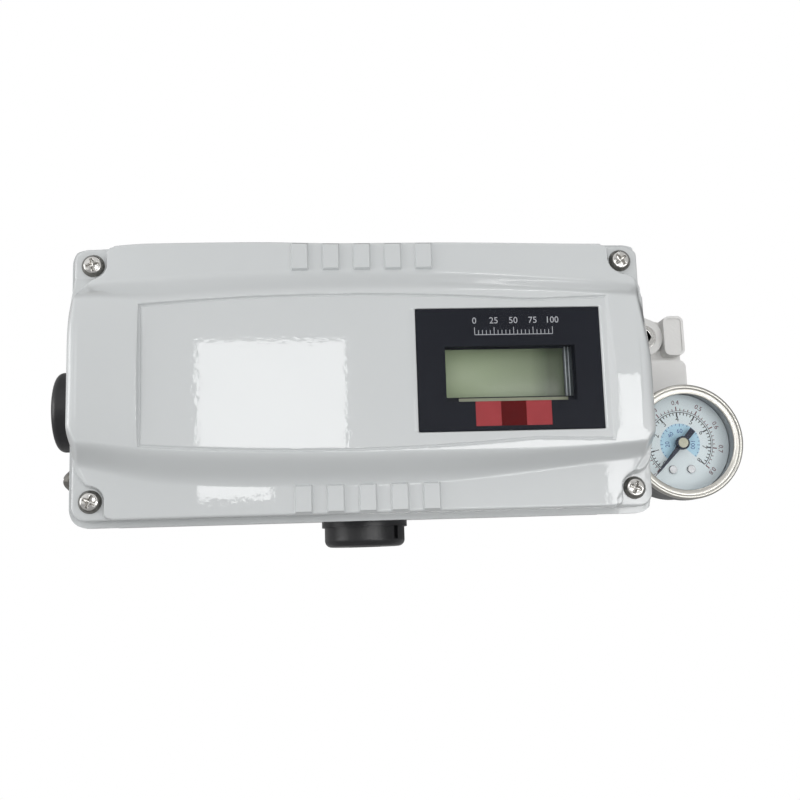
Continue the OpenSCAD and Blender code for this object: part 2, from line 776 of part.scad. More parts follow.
// Manifold: a stepped casting with ports on its right, gauge ports to the front and a marker pad
module mani_plan(y0, y1) {
    translate([mani_x + mani_w / 2, (y0 + y1) / 2]) rounded(mani_w, y1 - y0, mani_r);
}
module manifold() {
    boss_z = mani_upper_d + boss_h;
    pad_z1 = mani_d + pad_out;
    pad_x = mani_end - pad_w / 2;
    plug_y = port_pitch;
    color("gainsboro") front() difference() {
        union() {
            linear_extrude(mani_d) mani_plan(mani_low, mani_step);
            linear_extrude(mani_upper_d) difference() {
                mani_plan(mani_step - 2 * mani_r, mani_top);
                translate(sweep_at) circle(sweep_r);
            }
            post([plug_x, plug_y], 1, boss_z, boss_r);
            translate([pad_x, plug_y, 1]) linear_extrude(pad_z1 - 1) rounded(pad_w, pad_l, pad_r);
        }
        translate([pad_x, plug_y, pad_z1 - pad_border / 2]) linear_extrude(boss_h)
            rounded(pad_w - 2 * pad_border, pad_l - 2 * pad_border, pad_r - pad_border);
        for (y = port_at) translate([mani_end + 1, y, port_d]) leftward()
            cylinder(r = port_r, h = port_deep + 1);
        for (y = [-port_pitch, 0]) translate([mani_x - 1, y, port_d]) rightward()
            cylinder(r = gallery_r, h = mani_w - port_deep + 1 + eps);
        translate([plug_x - 3, port_pitch, port_d]) rightward()
            cylinder(r = gallery_r, h = mani_end - port_deep - plug_x + 4);
        post([plug_x, plug_y], boss_z - plug_len, boss_z + 1, gauge_port_r);
        post([plug_x, plug_y], port_d, boss_z, bleed_r);
        post([gauge_x, gauge_y], mani_d - stem_thread_l - gap, mani_d + 1, gauge_port_r);
        post([gauge_x, gauge_y], port_d, mani_d, bleed_r);
        for (p = mani_screw_at) translate([mani_x - 1, p[0], p[1]]) rightward() {
            cylinder(r = mani_screw_r + loose, h = mani_w + 2);
            translate([0, 0, mani_w + 1 - mani_head_h - mani_head_sunk])
                cylinder(r = mani_head_r + loose, h = mani_head_h + 2);
        }
    }
}
module manifold_gasket() {
    color("dimgray") front() difference() {
        translate([side_x, mani_low + mani_r, 1])
            cube([mani_gasket_t, mani_top - mani_low - 2 * mani_r, mani_upper_d - 2]);
        for (y = [-port_pitch, 0]) translate([side_x - 1, y, port_d]) rightward()
            cylinder(r = gallery_r, h = 3);
        for (p = mani_screw_at) translate([side_x - 1, p[0], p[1]]) rightward()
            cylinder(r = mani_screw_r + loose, h = 3);
    }
}
module manifold_screws() {
    shank = mani_w - mani_head_h - mani_head_sunk + mani_gasket_t + mani_screw_deep + 2;
    color("dimgray") front() for (p = mani_screw_at)
        translate([mani_end - mani_head_sunk - mani_head_h, p[0], p[1]])
        rightward()
        difference() {
            union() {
                cylinder(r = mani_head_r, h = mani_head_h);
                translate([0, 0, -shank]) cylinder(r = mani_screw_r, h = shank + eps);
            }
            translate([0, 0, mani_head_h / 2]) linear_extrude(mani_head_h)
                hexagon(mani_head_r - mani_head_sunk);
        }
}
module gauge_port_plug() {
    boss_z = mani_upper_d + boss_h;
    color("silver") front() translate([plug_x, port_pitch, 0]) difference() {
        post([0, 0], boss_z - plug_len + gap, boss_z + plug_out, gauge_port_r - loose / 2);
        translate([0, 0, boss_z + plug_out - plug_socket_deep]) linear_extrude(plug_len)
            hexagon(plug_socket);
    }
}

// Gauge
module gauge_place() { front() translate([gauge_x, gauge_y, 0]) children(); }
module gauge_stem() {
    color("goldenrod") gauge_place() {
        translate([0, 0, mani_d]) linear_extrude(stem_hex_l) hexagon(stem_hex);
        post([0, 0], mani_d - stem_thread_l, mani_d + eps, gauge_port_r - loose / 2);
    }
}
module gauge_case() {
    color("dimgray") gauge_place() difference() {
        post([0, 0], case_z, lens_z, case_r);
        post([0, 0], case_z + case_t, lens_z + 1, case_r - case_t);
    }
}
module gauge_bezel() {
    lip = 1;
    color("silver") gauge_place() rotate_extrude() difference() {
        union() {
            translate([case_r + loose, bezel_z - bezel_d])
                square([gauge_r - case_r - loose, bezel_d - lip]);
            translate([gauge_r - bezel_w, lens_z + lens_t + loose])
                square([bezel_w - lip, bezel_z - lens_z - lens_t - loose]);
            translate([gauge_r - lip, bezel_z - lip]) circle(lip);
            translate([gauge_r - 2 * lip, lens_z + lens_t + loose]) square([lip, lip / 2]);
        }
        translate([0, lens_z - 1]) square([case_r + loose, lens_t + 1 + loose]);
    }
}
module gauge_lens() { color("lightcyan", 0.3) gauge_place() post([0, 0], lens_z, lens_z + lens_t, case_r); }
module gauge_dial() {
    color("aliceblue") gauge_place() difference() {
        post([0, 0], dial_z, dial_z + dial_t, case_r - case_t - gap);
        post([0, 0], dial_z - 1, dial_z + dial_t + 1, arbor_r + 2 * gap);
        for (p = dial_screw_at) post(p, dial_z - 1, dial_z + dial_t + 1, dial_screw_r + loose);
    }
}
module gauge_dial_screws() {
    color("silver") gauge_place() for (p = dial_screw_at) {
        post(p, dial_z + dial_t, dial_z + dial_t + dial_screw_r, 1.5);
        post(p, dial_z - dial_screw_l, dial_z + dial_t + eps, dial_screw_r);
    }
}
module gauge_movement() {
    color("goldenrod") gauge_place() difference() {
        union() {
            post([0, 0], movement_z, movement_z + movement_t, movement_r);
            for (p = dial_screw_at) post(p, case_z + case_t, dial_z, 1.9);
            post([0, 0], case_z + case_t, case_z + case_t + movement_boss_h, movement_boss_r);
        }
        post([0, 0], case_z + case_t + 2, movement_z + 3, arbor_r + running);
        for (p = dial_screw_at) post(p, dial_z - dial_screw_l - 0.5, dial_z + 1, dial_screw_r);
    }
}
module bourdon_tube() {
    tube_r = 13.5;
    tube_w = 1.6;
    tube_h = 5;
    start = 200;
    arm_w = 3;
    z0 = case_z + case_t + 2;
    color("peru") gauge_place() rotate([0, 0, start]) {
        translate([0, 0, z0 + tube_h / 2]) rotate_extrude(angle = 250, $fn = 72)
            translate([tube_r, 0]) square([tube_w, tube_h], center = true);
        difference() {
            translate([0, 0, z0]) cube([tube_r, arm_w, movement_boss_h - 2]);
            post([0, 0], z0 - 1, z0 + tube_h, movement_boss_r);
        }
    }
}
module gauge_pointer() {
    hub_r = 2.2;
    tail_l = 6.6;
    tail_w = 1.2;
    neck_w = 0.8;
    tip_w = 0.2;
    color("midnightblue") gauge_place() rotate([0, 0, pointer_zero]) {
        post([0, 0], movement_z - 2 * movement_t, pointer_z + eps, arbor_r);
        post([0, 0], pointer_z, pointer_z + 1.4, hub_r);
        translate([0, 0, pointer_z]) linear_extrude(pointer_t)
            polygon([[-tail_l, -tail_w], [-hub_r, -neck_w], [0, -neck_w], [pointer_l, -tip_w],
                [pointer_l, tip_w], [0, neck_w], [-hub_r, neck_w], [-tail_l, tail_w]]);
    }
}

// Conduit plugs: a round head with a soft rim, grip slots, a square socket and a stub in the bore
seal_w = 1.2;
module conduit_plug(slot_turn) {
    rim = 2.5;
    flange_h = 2.2;
    slot_w = 2.2;
    slot_deep = 1.6;
    socket = 12;
    socket_deep = 4;
    stub_l = wall + conduit_boss_l - 2;
    difference() {
        union() {
            rotate_extrude() {
                translate([0, seal_w]) square([plug_r, flange_h]);
                translate([0, seal_w]) square([plug_r - 1, plug_h - rim]);
                translate([0, seal_w]) square([plug_r - 1 - rim, plug_h]);
                translate([plug_r - 1 - rim, seal_w + plug_h - rim]) circle(rim);
            }
            translate([0, 0, -stub_l]) cylinder(r = conduit_r - loose, h = stub_l + seal_w + eps);
        }
        translate([-socket / 2, -socket / 2, seal_w + plug_h - socket_deep])
            cube([socket, socket, socket_deep + 1]);
        for (a = [0, 180]) rotate([0, 0, a + slot_turn])
            translate([plug_r - 1 - slot_deep, -slot_w / 2, seal_w + flange_h])
                cube([plug_r, slot_w, plug_h - flange_h - rim]);
        translate([0, 0, -stub_l - 1]) cylinder(r = conduit_r - 3, h = stub_l + 1);
    }
}
module left_conduit_plug() { color("black") front() conduit_left(0) conduit_plug(0); }
module bottom_conduit_plug() { color("black") front() conduit_bottom(0) conduit_plug(42); }
module conduit_seals() {
    color("dimgray") front() {
        conduit_left(0) ring(0, seal_w, conduit_r, plug_r - 0.8);
        conduit_bottom(0) ring(0, seal_w, conduit_r, plug_r - 0.8);
    }
}
washer_t = 1.2;
earth_head_r = 3.8;
earth_head_h = 3.4;
earth_dome = 1.15;
earth_pad_r = earth_head_r + 1.4;
earth_screw_l = 10;
module earth_screw() {
    color("silver") front() earth_place(earth_pad_h + washer_t)
        pan_screw(earth_head_r, earth_head_h, earth_r - loose / 2, earth_screw_l, earth_dome);
}
module earth_washer() {
    color("silver") front() earth_place(earth_pad_h) ring(0, washer_t, earth_r + loose, earth_head_r + 0.8);
}

// Feedback shaft with its gear, and the potentiometer that reads it
module main_shaft() {
    chamfer = 1;
    color("lightsteelblue") front() difference() {
        union() {
            post([0, 0], -shaft_step, shaft_front, shaft_r);
            post([0, 0], -shaft_out + chamfer, -shaft_step + eps, shaft_end_r);
            translate([0, 0, -shaft_out]) cylinder(r1 = shaft_end_r - chamfer, r2 = shaft_end_r, h = chamfer);
        }
        ring(clip_z, clip_z + clip_t + 0.1, shaft_r - 0.4, shaft_r + 1);
        translate([-1, -shaft_r - 1, shaft_front - 2]) cube([2, 2 * shaft_r + 2, 3]);
    }
}
module shaft_bush() {
    color("darkgoldenrod") front() ring(seal_l + 1, bush_end, shaft_r + running, bush_r - loose / 5);
}
module shaft_seal() {
    color("black") front() translate([0, 0, 1 + seal_l / 2]) rotate_extrude()
        translate([(shaft_r + bush_r) / 2, 0]) circle(seal_ring_r);
}
module shaft_circlip() {
    color("dimgray") front() difference() {
        ring(clip_z + 0.05, clip_z + clip_t, shaft_r - 0.35, shaft_r + 2.4);
        translate([-2, 0, clip_z - 1]) cube([4, shaft_r + 3, 3]);
    }
}
pressure = 20;
backlash = 0.12;
function inv_deg(a) = tan(a) * 180 / PI - a;
function tooth_half(r, n) = let (rp = gear_m * n / 2, rb = rp * cos(pressure),
    a = r > rb ? acos(rb / r) : 0)
    90 / n - backlash / 2 / rp * 180 / PI + inv_deg(pressure) - inv_deg(a);
module gear_plan(n) {
    rp = gear_m * n / 2;
    root = rp - 1.25 * gear_m;
    tip = rp + 0.9 * gear_m;
    flank = [root, for (i = [0 : 4]) let (low = max(root, rp * cos(pressure))) low + (tip - low) * i / 4];
    polygon([for (k = [0 : n - 1], s = [-1, 1], i = [0 : len(flank) - 1])
        let (r = flank[s < 0 ? i : len(flank) - 1 - i], a = k * 360 / n + s * tooth_half(r, n))
            r * [cos(a), sin(a)]]);
}
module main_gear() {
    color("goldenrod") front() translate([0, 0, gear_z]) difference() {
        rotate([0, 0, mesh_angle]) linear_extrude(gear_t) gear_plan(gear_n);
        translate([0, 0, -1]) cylinder(r = shaft_r + loose / 5, h = gear_t + 2);
        for (a = [0 : 60 : 300]) rotate([0, 0, a]) translate([gear_m * gear_n * 0.31, 0, -1])
            cylinder(r = gear_m * gear_n / 12, h = gear_t + 2);
    }
}
module pot_place() { front() translate([pot_x, pot_y, 0]) children(); }
module potentiometer_pinion() {
    color("goldenrod") pot_place() {
        rotate([0, 0, mesh_angle + 180 + 180 / pinion_n]) translate([0, 0, gear_z + 0.2])
            linear_extrude(gear_t - 0.4)
            gear_plan(pinion_n);
        post([0, 0], gear_z + gear_t - 1, pot_z + pot_shaft_l, pot_shaft_r);
    }
}
module potentiometer() {
    color("royalblue") pot_place() difference() {
        post([0, 0], pot_z, pot_z + pot_l, pot_r);
        post([0, 0], pot_z - 1, pot_z + pot_shaft_l + gap, pot_shaft_r + running);
    }
}
module potentiometer_bracket() {
    arm = 2 * bracket_pad_r + 1;
    color("silver") front() translate([0, 0, bracket_z]) linear_extrude(bracket_t) difference() {
        union() {
            translate([pot_x, pot_y]) circle(pot_r + 1);
            translate([bracket_post_at[0][0], pot_y - arm / 2])
                square([pot_x - bracket_post_at[0][0], arm]);
            translate([pot_x - arm / 2, pot_y]) square([arm, bracket_post_at[1][1] - pot_y]);
            for (p = bracket_post_at) translate(p) circle(bracket_pad_r);
        }
        translate([pot_x, pot_y]) circle(pot_shaft_r + gap);
        for (p = bracket_post_at) translate(p) circle(stud_r + loose);
    }
}
module bracket_posts() {
    color("goldenrod") front() for (p = bracket_post_at) {
        post(p, rear_wall, bracket_z, post_r);
        post(p, bracket_z - eps, bracket_z + bracket_t + stud_out, stud_r);
    }
}

// Pilot valve on the right wall, torque motor on the rear wall
module pilot_body() {
    color("silver") front() difference() {
        translate([pilot_x, pilot_low, rear_wall]) cube([pilot_w, pilot_top - pilot_low, pilot_d]);
        translate([spool_x, pilot_top + 1, spool_z]) downward()
            cylinder(r = spool_r + running, h = pilot_top - pilot_low - 3);
        for (y = [-port_pitch, 0]) translate([in_right + 1, y, port_d]) leftward()
            cylinder(r = gallery_r, h = 9);
        for (i = [1, 2]) let (p = mani_screw_at[i]) translate([in_right + 1, p[0], p[1]]) leftward()
            cylinder(r = mani_screw_r + loose, h = mani_screw_deep + 2);
    }
}
module spool() {
    land = 7;
    low = pilot_low + 4 + spool_travel + 0.5;
    high = pilot_top + spool_travel + 1;
    color("lightsteelblue") front() translate([spool_x, high, spool_z]) downward() rotate_extrude() {
        square([spool_r * 0.6, high - low]);
        for (i = [0 : 2]) translate([0, i * (high - low - land) / 2]) square([spool_r, land]);
    }
}
module nozzle() {
    tip = flapper_y - flapper_t / 2 - nozzle_gap;
    nozzle_r = 2.5;
    taper = 3;
    color("goldenrod") front() translate([nozzle_x, pilot_top, flapper_z]) rotate([-90, 0, 0]) difference() {
        union() {
            cylinder(r = nozzle_r, h = tip - pilot_top - taper + eps);
            translate([0, 0, tip - pilot_top - taper]) cylinder(r1 = nozzle_r, r2 = 1, h = taper);
        }
        translate([0, 0, 1]) cylinder(r = 0.5, h = tip);
    }
}
module torque_motor_yoke() {
    color("dimgray") front() difference() {
        translate([yoke_x, flapper_y - yoke_half, rear_wall]) cube([yoke_w, 2 * yoke_half, pilot_d]);
        translate([yoke_x + yoke_t, flapper_y - yoke_half - 1, rear_wall + yoke_t])
            cube([yoke_w - 2 * yoke_t, 2 * yoke_half + 2, pilot_d]);
        translate([yoke_x - 1, flapper_y - yoke_window, flapper_z - yoke_window])
            cube([yoke_w + 2, 2 * yoke_window, 2 * yoke_window]);
        translate([pivot_x, flapper_y, flapper_z])
            cylinder(r = pivot_r + running, h = 2 * (yoke_window + pivot_l + gap), center = true);
    }
}
module torque_motor_coil() {
    color("chocolate") front() translate([yoke_x + yoke_t, flapper_y, flapper_z]) rightward()
        ring(0, yoke_w - 2 * yoke_t, yoke_window + 0.2, yoke_half - 1);
}
module flapper() {
    over = 4;
    color("lightsteelblue") front() translate([pivot_x, flapper_y, flapper_z]) {
        translate([-over, -flapper_t / 2, -flapper_w / 2])
            cube([nozzle_x - pivot_x + 2 * over, flapper_t, flapper_w]);
        cylinder(r = pivot_r, h = 2 * (yoke_window + pivot_l), center = true);
    }
}

base_housing();
cover();
cover_gasket();
cover_screws();
window_pane();
window_mask();
window_seal();
lcd_frame();
lcd_glass();
display_board();
display_standoffs();
key_bases();
key_up();
key_down();
key_enter();
key_escape();
main_board();
board_standoffs();
terminal_block();
terminal_screws();
manifold();
manifold_gasket();
manifold_screws();
gauge_port_plug();
gauge_stem();
gauge_case();
gauge_bezel();
gauge_lens();
gauge_dial();
gauge_dial_screws();
gauge_movement();
bourdon_tube();
gauge_pointer();
left_conduit_plug();
bottom_conduit_plug();
conduit_seals();
earth_screw();
earth_washer();
main_shaft();
shaft_bush();
shaft_seal();
shaft_circlip();
main_gear();
potentiometer();
potentiometer_bracket();
bracket_posts();
potentiometer_pinion();
pilot_body();
spool();
nozzle();
torque_motor_yoke();
torque_motor_coil();
flapper();
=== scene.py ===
import json
import math

import bmesh
import bpy
from mathutils import Matrix, Vector


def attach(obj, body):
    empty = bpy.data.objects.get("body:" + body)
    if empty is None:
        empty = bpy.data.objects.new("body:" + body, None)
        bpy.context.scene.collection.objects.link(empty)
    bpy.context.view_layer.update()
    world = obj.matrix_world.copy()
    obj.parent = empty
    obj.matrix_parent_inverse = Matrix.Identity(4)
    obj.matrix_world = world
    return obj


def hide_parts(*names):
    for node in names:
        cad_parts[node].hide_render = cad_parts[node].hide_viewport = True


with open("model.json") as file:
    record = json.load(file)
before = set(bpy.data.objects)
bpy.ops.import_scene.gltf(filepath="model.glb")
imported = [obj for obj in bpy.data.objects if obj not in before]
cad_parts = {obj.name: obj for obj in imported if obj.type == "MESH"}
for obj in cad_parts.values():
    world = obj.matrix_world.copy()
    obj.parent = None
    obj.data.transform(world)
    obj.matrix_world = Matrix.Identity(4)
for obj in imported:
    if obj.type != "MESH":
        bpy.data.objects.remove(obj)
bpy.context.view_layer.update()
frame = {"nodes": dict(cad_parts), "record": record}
scene = bpy.context.scene
scene.view_settings.view_transform = "Standard"
print("frame loaded:", len(frame["nodes"]), "nodes")

# pieces are modelled in plan, in mm: x right, y up, z from the mounting face to the viewer
toFrame = Matrix.Rotation(math.pi / 2, 4, "X") @ Matrix.Diagonal((0.001, 0.001, 0.001, 1))

# camera as in the photograph
view = {"place": (-0.01519, -0.42794, -0.06615), "turn": (98.9655, 1.7981, -4.0358), "lens": 47.25}
cameraData = bpy.data.cameras.new("camera")
cameraData.lens = view["lens"]
cameraData.sensor_width = 36
cameraData.clip_start = 0.01
camera = bpy.data.objects.new("camera", cameraData)
camera.location = view["place"]
camera.rotation_euler = [math.radians(a) for a in view["turn"]]
scene.collection.objects.link(camera)
scene.camera = camera


def softMin(a, b, k):
    h = max(k - abs(a - b), 0) / k
    return min(a, b) - h * h * k / 4


def softMax(a, b, k):
    return -softMin(-a, -b, k)


def smoothStep(value, low, high):
    t = min(max((value - low) / (high - low), 0), 1)
    return t * t * (3 - 2 * t)


def gridLines(spans):
    # spans are (start, end, step)
    lines = []
    for start, end, step in spans:
        count = max(1, round((end - start) / step))
        lines += [start + (end - start) * i / count for i in range(count)]
    return lines + [spans[-1][1]]


def stretchedGrid(bm, xLines, yLines):
    # a grid whose lines lie where the two lists say
    columns, rows = len(xLines) - 1, len(yLines) - 1
    verts = bmesh.ops.create_grid(bm, x_segments=columns, y_segments=rows, size=1)["verts"]
    for v in verts:
        v.co.x = xLines[round((v.co.x + 1) / 2 * columns)]
        v.co.y = yLines[round((v.co.y + 1) / 2 * rows)]
    return verts


def boundaryEdges(bm):
    return [e for e in bm.edges if len(e.link_faces) == 1]


def pulled(bm, edges, move):
    # extrudes open edges and gives back the new open edges
    made = bmesh.ops.extrude_edge_only(bm, edges=edges)["geom"]
    for v in (g for g in made if isinstance(g, bmesh.types.BMVert)):
        v.co = move(v.co)
    return [g for g in made if isinstance(g, bmesh.types.BMEdge) and len(g.link_faces) == 1]


def spun(bm, profile, steps=64, center=(0, 0), tint=0):
    # turns a profile of (radius, height) points about z
    old = set(bm.faces)
    verts = [bm.verts.new((center[0] + r, center[1], z)) for r, z in profile]
    edges = [bm.edges.new(pair) for pair in zip(verts, verts[1:])]
    bmesh.ops.spin(bm, geom=verts + edges, cent=(*center, 0), axis=(0, 0, 1), angle=2 * math.pi,
                   steps=steps, use_merge=True)
    faces = [f for f in bm.faces if f not in old]
    bmesh.ops.remove_doubles(bm, verts=list({v for f in faces for v in f.verts}), dist=1e-4)
    faces = [f for f in bm.faces if f not in old]
    bmesh.ops.recalc_face_normals(bm, faces=faces)
    for face in faces:
        face.material_index = tint


def roundEdges(bm, width, segments=3, angle=28):
    edges = [e for e in bm.edges if len(e.link_faces) == 2 and e.calc_face_angle(0) > math.radians(angle)]
    bmesh.ops.bevel(bm, geom=edges, offset=width, offset_type="OFFSET", segments=segments, profile=0.5,
                    affect="EDGES", clamp_overlap=True, material=-1)


def block(bm, low, high, width=0, tint=0, turn=0, about=(0, 0)):
    # a box between two corners, with rounded edges, turned about a point of the plan
    part = bmesh.new()
    bmesh.ops.create_cube(part, size=1)
    middle = [(a + b) / 2 for a, b in zip(low, high)]
    size = [b - a for a, b in zip(low, high)]
    bmesh.ops.scale(part, vec=size, verts=part.verts[:])
    bmesh.ops.translate(part, vec=middle, verts=part.verts[:])
    if width:
        roundEdges(part, width, 2)
    if turn:
        bmesh.ops.rotate(part, cent=(*about, 0), matrix=Matrix.Rotation(turn, 3, "Z"), verts=part.verts[:])
    addTo(bm, part, tint)


def addTo(bm, part, tint=0):
    for face in part.faces if tint is not None else []:
        face.material_index = tint
    mesh = bpy.data.meshes.new("passing")
    part.to_mesh(mesh)
    part.free()
    bm.from_mesh(mesh)
    bpy.data.meshes.remove(mesh)


def printedWords(bm, words, size, at, turn, z, thick, tint=0):
    # numbers as thin raised print
    curve = bpy.data.curves.new("print", "FONT")
    curve.body, curve.size, curve.extrude = words, size, thick / 2
    curve.align_x, curve.align_y = "CENTER", "CENTER"
    curve.resolution_u = 3
    holder = bpy.data.objects.new("print", curve)
    scene.collection.objects.link(holder)
    mesh = bpy.data.meshes.new_from_object(holder.evaluated_get(bpy.context.evaluated_depsgraph_get()))
    place = Matrix.Translation((*at, z + thick / 2)) @ Matrix.Rotation(turn, 4, "Z")
    part = bmesh.new()
    part.from_mesh(mesh)
    bmesh.ops.remove_doubles(part, verts=part.verts[:], dist=1e-5)
    bmesh.ops.transform(part, matrix=place, verts=part.verts[:])
    addTo(bm, part, tint)
    bpy.data.objects.remove(holder)
    bpy.data.curves.remove(curve)
    bpy.data.meshes.remove(mesh)


def shadeSmooth(bm, angle):
    for face in bm.faces:
        face.smooth = True
    for edge in bm.edges:
        edge.smooth = len(edge.link_faces) == 2 and edge.calc_face_angle(0) < math.radians(angle)


def makePiece(name, bm, materials, body, nodes=(), place=True, smooth=34):
    if place:
        bmesh.ops.transform(bm, matrix=toFrame, verts=bm.verts[:])
    shadeSmooth(bm, smooth)
    mesh = bpy.data.meshes.new(name)
    bm.to_mesh(mesh)
    bm.free()
    for material in materials if isinstance(materials, list) else [materials]:
        mesh.materials.append(material)
    piece = bpy.data.objects.new(name, mesh)
    scene.collection.objects.link(piece)
    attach(piece, body)
    if nodes:
        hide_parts(*nodes)
    print("made", name, len(mesh.polygons), "faces")
    return piece


def dressNode(node, name, material, width, segments=2, body="housing", shape=None, picks=None):
    # a merged copy of the CAD piece, with its edges rounded; width in mm
    # shape moves its points, and picks tells which faces take the second material
    bm = bmesh.new()
    bm.from_mesh(frame["nodes"][node].data)
    bmesh.ops.remove_doubles(bm, verts=bm.verts[:], dist=2e-6)
    bmesh.ops.dissolve_limit(bm, angle_limit=math.radians(0.6), verts=bm.verts[:], edges=bm.edges[:],
                             use_dissolve_boundaries=False)
    for v in bm.verts if shape else []:
        v.co = shape(v.co)
    roundEdges(bm, width * 0.001, segments)
    for face in bm.faces if picks else []:
        face.material_index = int(picks(face))
    piece = makePiece(name, bm, material, body, [node], place=False)
    piece.modifiers.new("evenNormals", "WEIGHTED_NORMAL").keep_sharp = True


def objectNoise(nodes, links, scale, detail, stretch):
    coords = nodes.new("ShaderNodeTexCoord")
    mapping = nodes.new("ShaderNodeMapping")
    mapping.inputs["Scale"].default_value = stretch
    noise = nodes.new("ShaderNodeTexNoise")
    noise.inputs["Scale"].default_value = scale
    noise.inputs["Detail"].default_value = detail
    links.new(coords.outputs["Object"], mapping.inputs["Vector"])
    links.new(mapping.outputs["Vector"], noise.inputs["Vector"])
    return noise.outputs["Fac"]


def colorRamp(nodes, links, factor, stops):
    node = nodes.new("ShaderNodeValToRGB")
    ends = node.color_ramp.elements
    ends[0].position, ends[0].color = stops[0][0], (*stops[0][1], 1)
    ends[1].position, ends[1].color = stops[-1][0], (*stops[-1][1], 1)
    for position, color in stops[1:-1]:
        ends.new(position).color = (*color, 1)
    links.new(factor, node.inputs["Fac"])
    return node.outputs["Color"]


def finishOf(name, color, rough, metal=0.0, vary=0.06, patch=40, grain=900, peel=0.0, detail=3.0,
             roughVary=0.05, coat=0.0, coatRough=0.05, alpha=1.0, stretch=(1, 1, 1), specular=0.5):
    # patch is the scale of the colour's drift, grain that of the relief, peel its height in mm
    material = bpy.data.materials.new(name)
    material.use_nodes = True
    nodes, links = material.node_tree.nodes, material.node_tree.links
    shader = nodes["Principled BSDF"]
    drift = objectNoise(nodes, links, patch, 4, stretch)
    low = tuple(c * (1 - vary) for c in color)
    high = tuple(min(1, c * (1 + vary)) for c in color)
    links.new(colorRamp(nodes, links, drift, [(0.3, low), (0.7, high)]), shader.inputs["Base Color"])
    relief = objectNoise(nodes, links, grain, detail, stretch)
    spread = nodes.new("ShaderNodeMapRange")
    spread.inputs["To Min"].default_value = max(0.0, rough - roughVary)
    spread.inputs["To Max"].default_value = rough + roughVary
    links.new(relief, spread.inputs["Value"])
    links.new(spread.outputs["Result"], shader.inputs["Roughness"])
    shader.inputs["Metallic"].default_value = metal
    shader.inputs["Specular IOR Level"].default_value = specular
    shader.inputs["Coat Weight"].default_value = coat
    shader.inputs["Coat Roughness"].default_value = coatRough
    shader.inputs["Alpha"].default_value = alpha
    if peel:
        bump = nodes.new("ShaderNodeBump")
        bump.inputs["Distance"].default_value = peel * 0.001
        bump.inputs["Strength"].default_value = 1.0
        links.new(relief, bump.inputs["Height"])
        links.new(bump.outputs["Normal"], shader.inputs["Normal"])
        if coat:
            links.new(bump.outputs["Normal"], shader.inputs["Coat Normal"])
    return material


def acrossFinish(name, stops, start, end, rough):
    # a finish whose colour changes from left to right, between two places in metres
    material = finishOf(name, (0.5, 0.5, 0.5), rough, grain=1500)
    nodes, links = material.node_tree.nodes, material.node_tree.links
    coords = nodes.new("ShaderNodeTexCoord")
    split = nodes.new("ShaderNodeSeparateXYZ")
    along = nodes.new("ShaderNodeMapRange")
    along.inputs["From Min"].default_value = start
    along.inputs["From Max"].default_value = end
    links.new(coords.outputs["Object"], split.inputs["Vector"])
    links.new(split.outputs["X"], along.inputs["Value"])
    links.new(colorRamp(nodes, links, along.outputs["Result"], stops),
              nodes["Principled BSDF"].inputs["Base Color"])
    return material


# finishes, linear colours
greyPaint = finishOf("greyPaint", (0.585, 0.605, 0.61), 0.34, vary=0.012, patch=18, grain=520, peel=0.009,
                     detail=2.0, roughVary=0.04, coat=0.9, coatRough=0.012)
castPaint = finishOf("castPaint", (0.80, 0.795, 0.78), 0.42, vary=0.03, patch=60, grain=900, peel=0.05,
                     roughVary=0.08, coat=0.3, coatRough=0.2)
sealRubber = finishOf("sealRubber", (0.016, 0.016, 0.017), 0.7, vary=0.2, grain=2500, peel=0.02)
nickelSteel = finishOf("nickelSteel", (0.62, 0.61, 0.59), 0.17, 1.0, vary=0.08, patch=400, grain=1500,
                       peel=0.006)
# screwShade: a darker copy of the steel for the screw heads' sides, painted shade and dark reflection
screwShade = finishOf("screwShade", (0.21, 0.205, 0.19), 0.26, 1.0, vary=0.3, patch=500, grain=1500,
                      peel=0.006)
# a darker copy of the steel for the earth screw's sides: painted shade and dark reflection
earthSideShade = finishOf("earthSideShade", (0.26, 0.25, 0.23), 0.22, 1.0, vary=0.2, patch=400, grain=1500,
                      peel=0.006)
bezelSteel = finishOf("bezelSteel", (0.56, 0.55, 0.51), 0.3, 1.0, vary=0.04, patch=200, grain=1200,
                      peel=0.003, roughVary=0.06)
# the gauge can's black finish, which also paints shade on its outside, and painted shade on the bezel's
# skirt
blackCanAndShade = finishOf("blackCanAndShade", (0.11, 0.112, 0.116), 0.4, 0.6, vary=0.06, patch=200, grain=1200,
                    peel=0.008)
canLining = finishOf("canLining", (0.40, 0.43, 0.45), 0.4, vary=0.04, patch=200, grain=1200, peel=0.004)
screwDull = finishOf("screwDull", (0.46, 0.47, 0.48), 0.42, 0.9, vary=0.1, patch=300, grain=1500)
# a dark finish that paints shade in the port plug's socket and on the dial screws' sides
socketAndSideShade = finishOf("socketAndSideShade", (0.05, 0.05, 0.05), 0.4, 0.8, vary=0.15, patch=300, grain=1500)
clearPane = finishOf("clearPane", (0.2, 0.22, 0.25), 0.04, vary=0.02, grain=200, roughVary=0.02,
                     alpha=0.03)
maskBlack = finishOf("maskBlack", (0.008, 0.009, 0.014), 0.3, vary=0.15, patch=30, grain=500, peel=0.004,
                     roughVary=0.05, specular=0.1)
boardGreen = finishOf("boardGreen", (0.03, 0.16, 0.06), 0.35, vary=0.15, patch=120, grain=900, peel=0.02)
brassTurned = finishOf("brassTurned", (0.72, 0.55, 0.26), 0.28, 1.0, vary=0.08, patch=300, grain=1500,
                       peel=0.008)
keyWhite = finishOf("keyWhite", (0.75, 0.75, 0.72), 0.4, vary=0.04, grain=1500, peel=0.01)
terminalGreen = finishOf("terminalGreen", (0.05, 0.3, 0.12), 0.45, vary=0.08, grain=1500, peel=0.01)
plugBlack = finishOf("plugBlack", (0.012, 0.0122, 0.014), 0.34, vary=0.2, patch=80, grain=1600,
                     peel=0.012, roughVary=0.07)
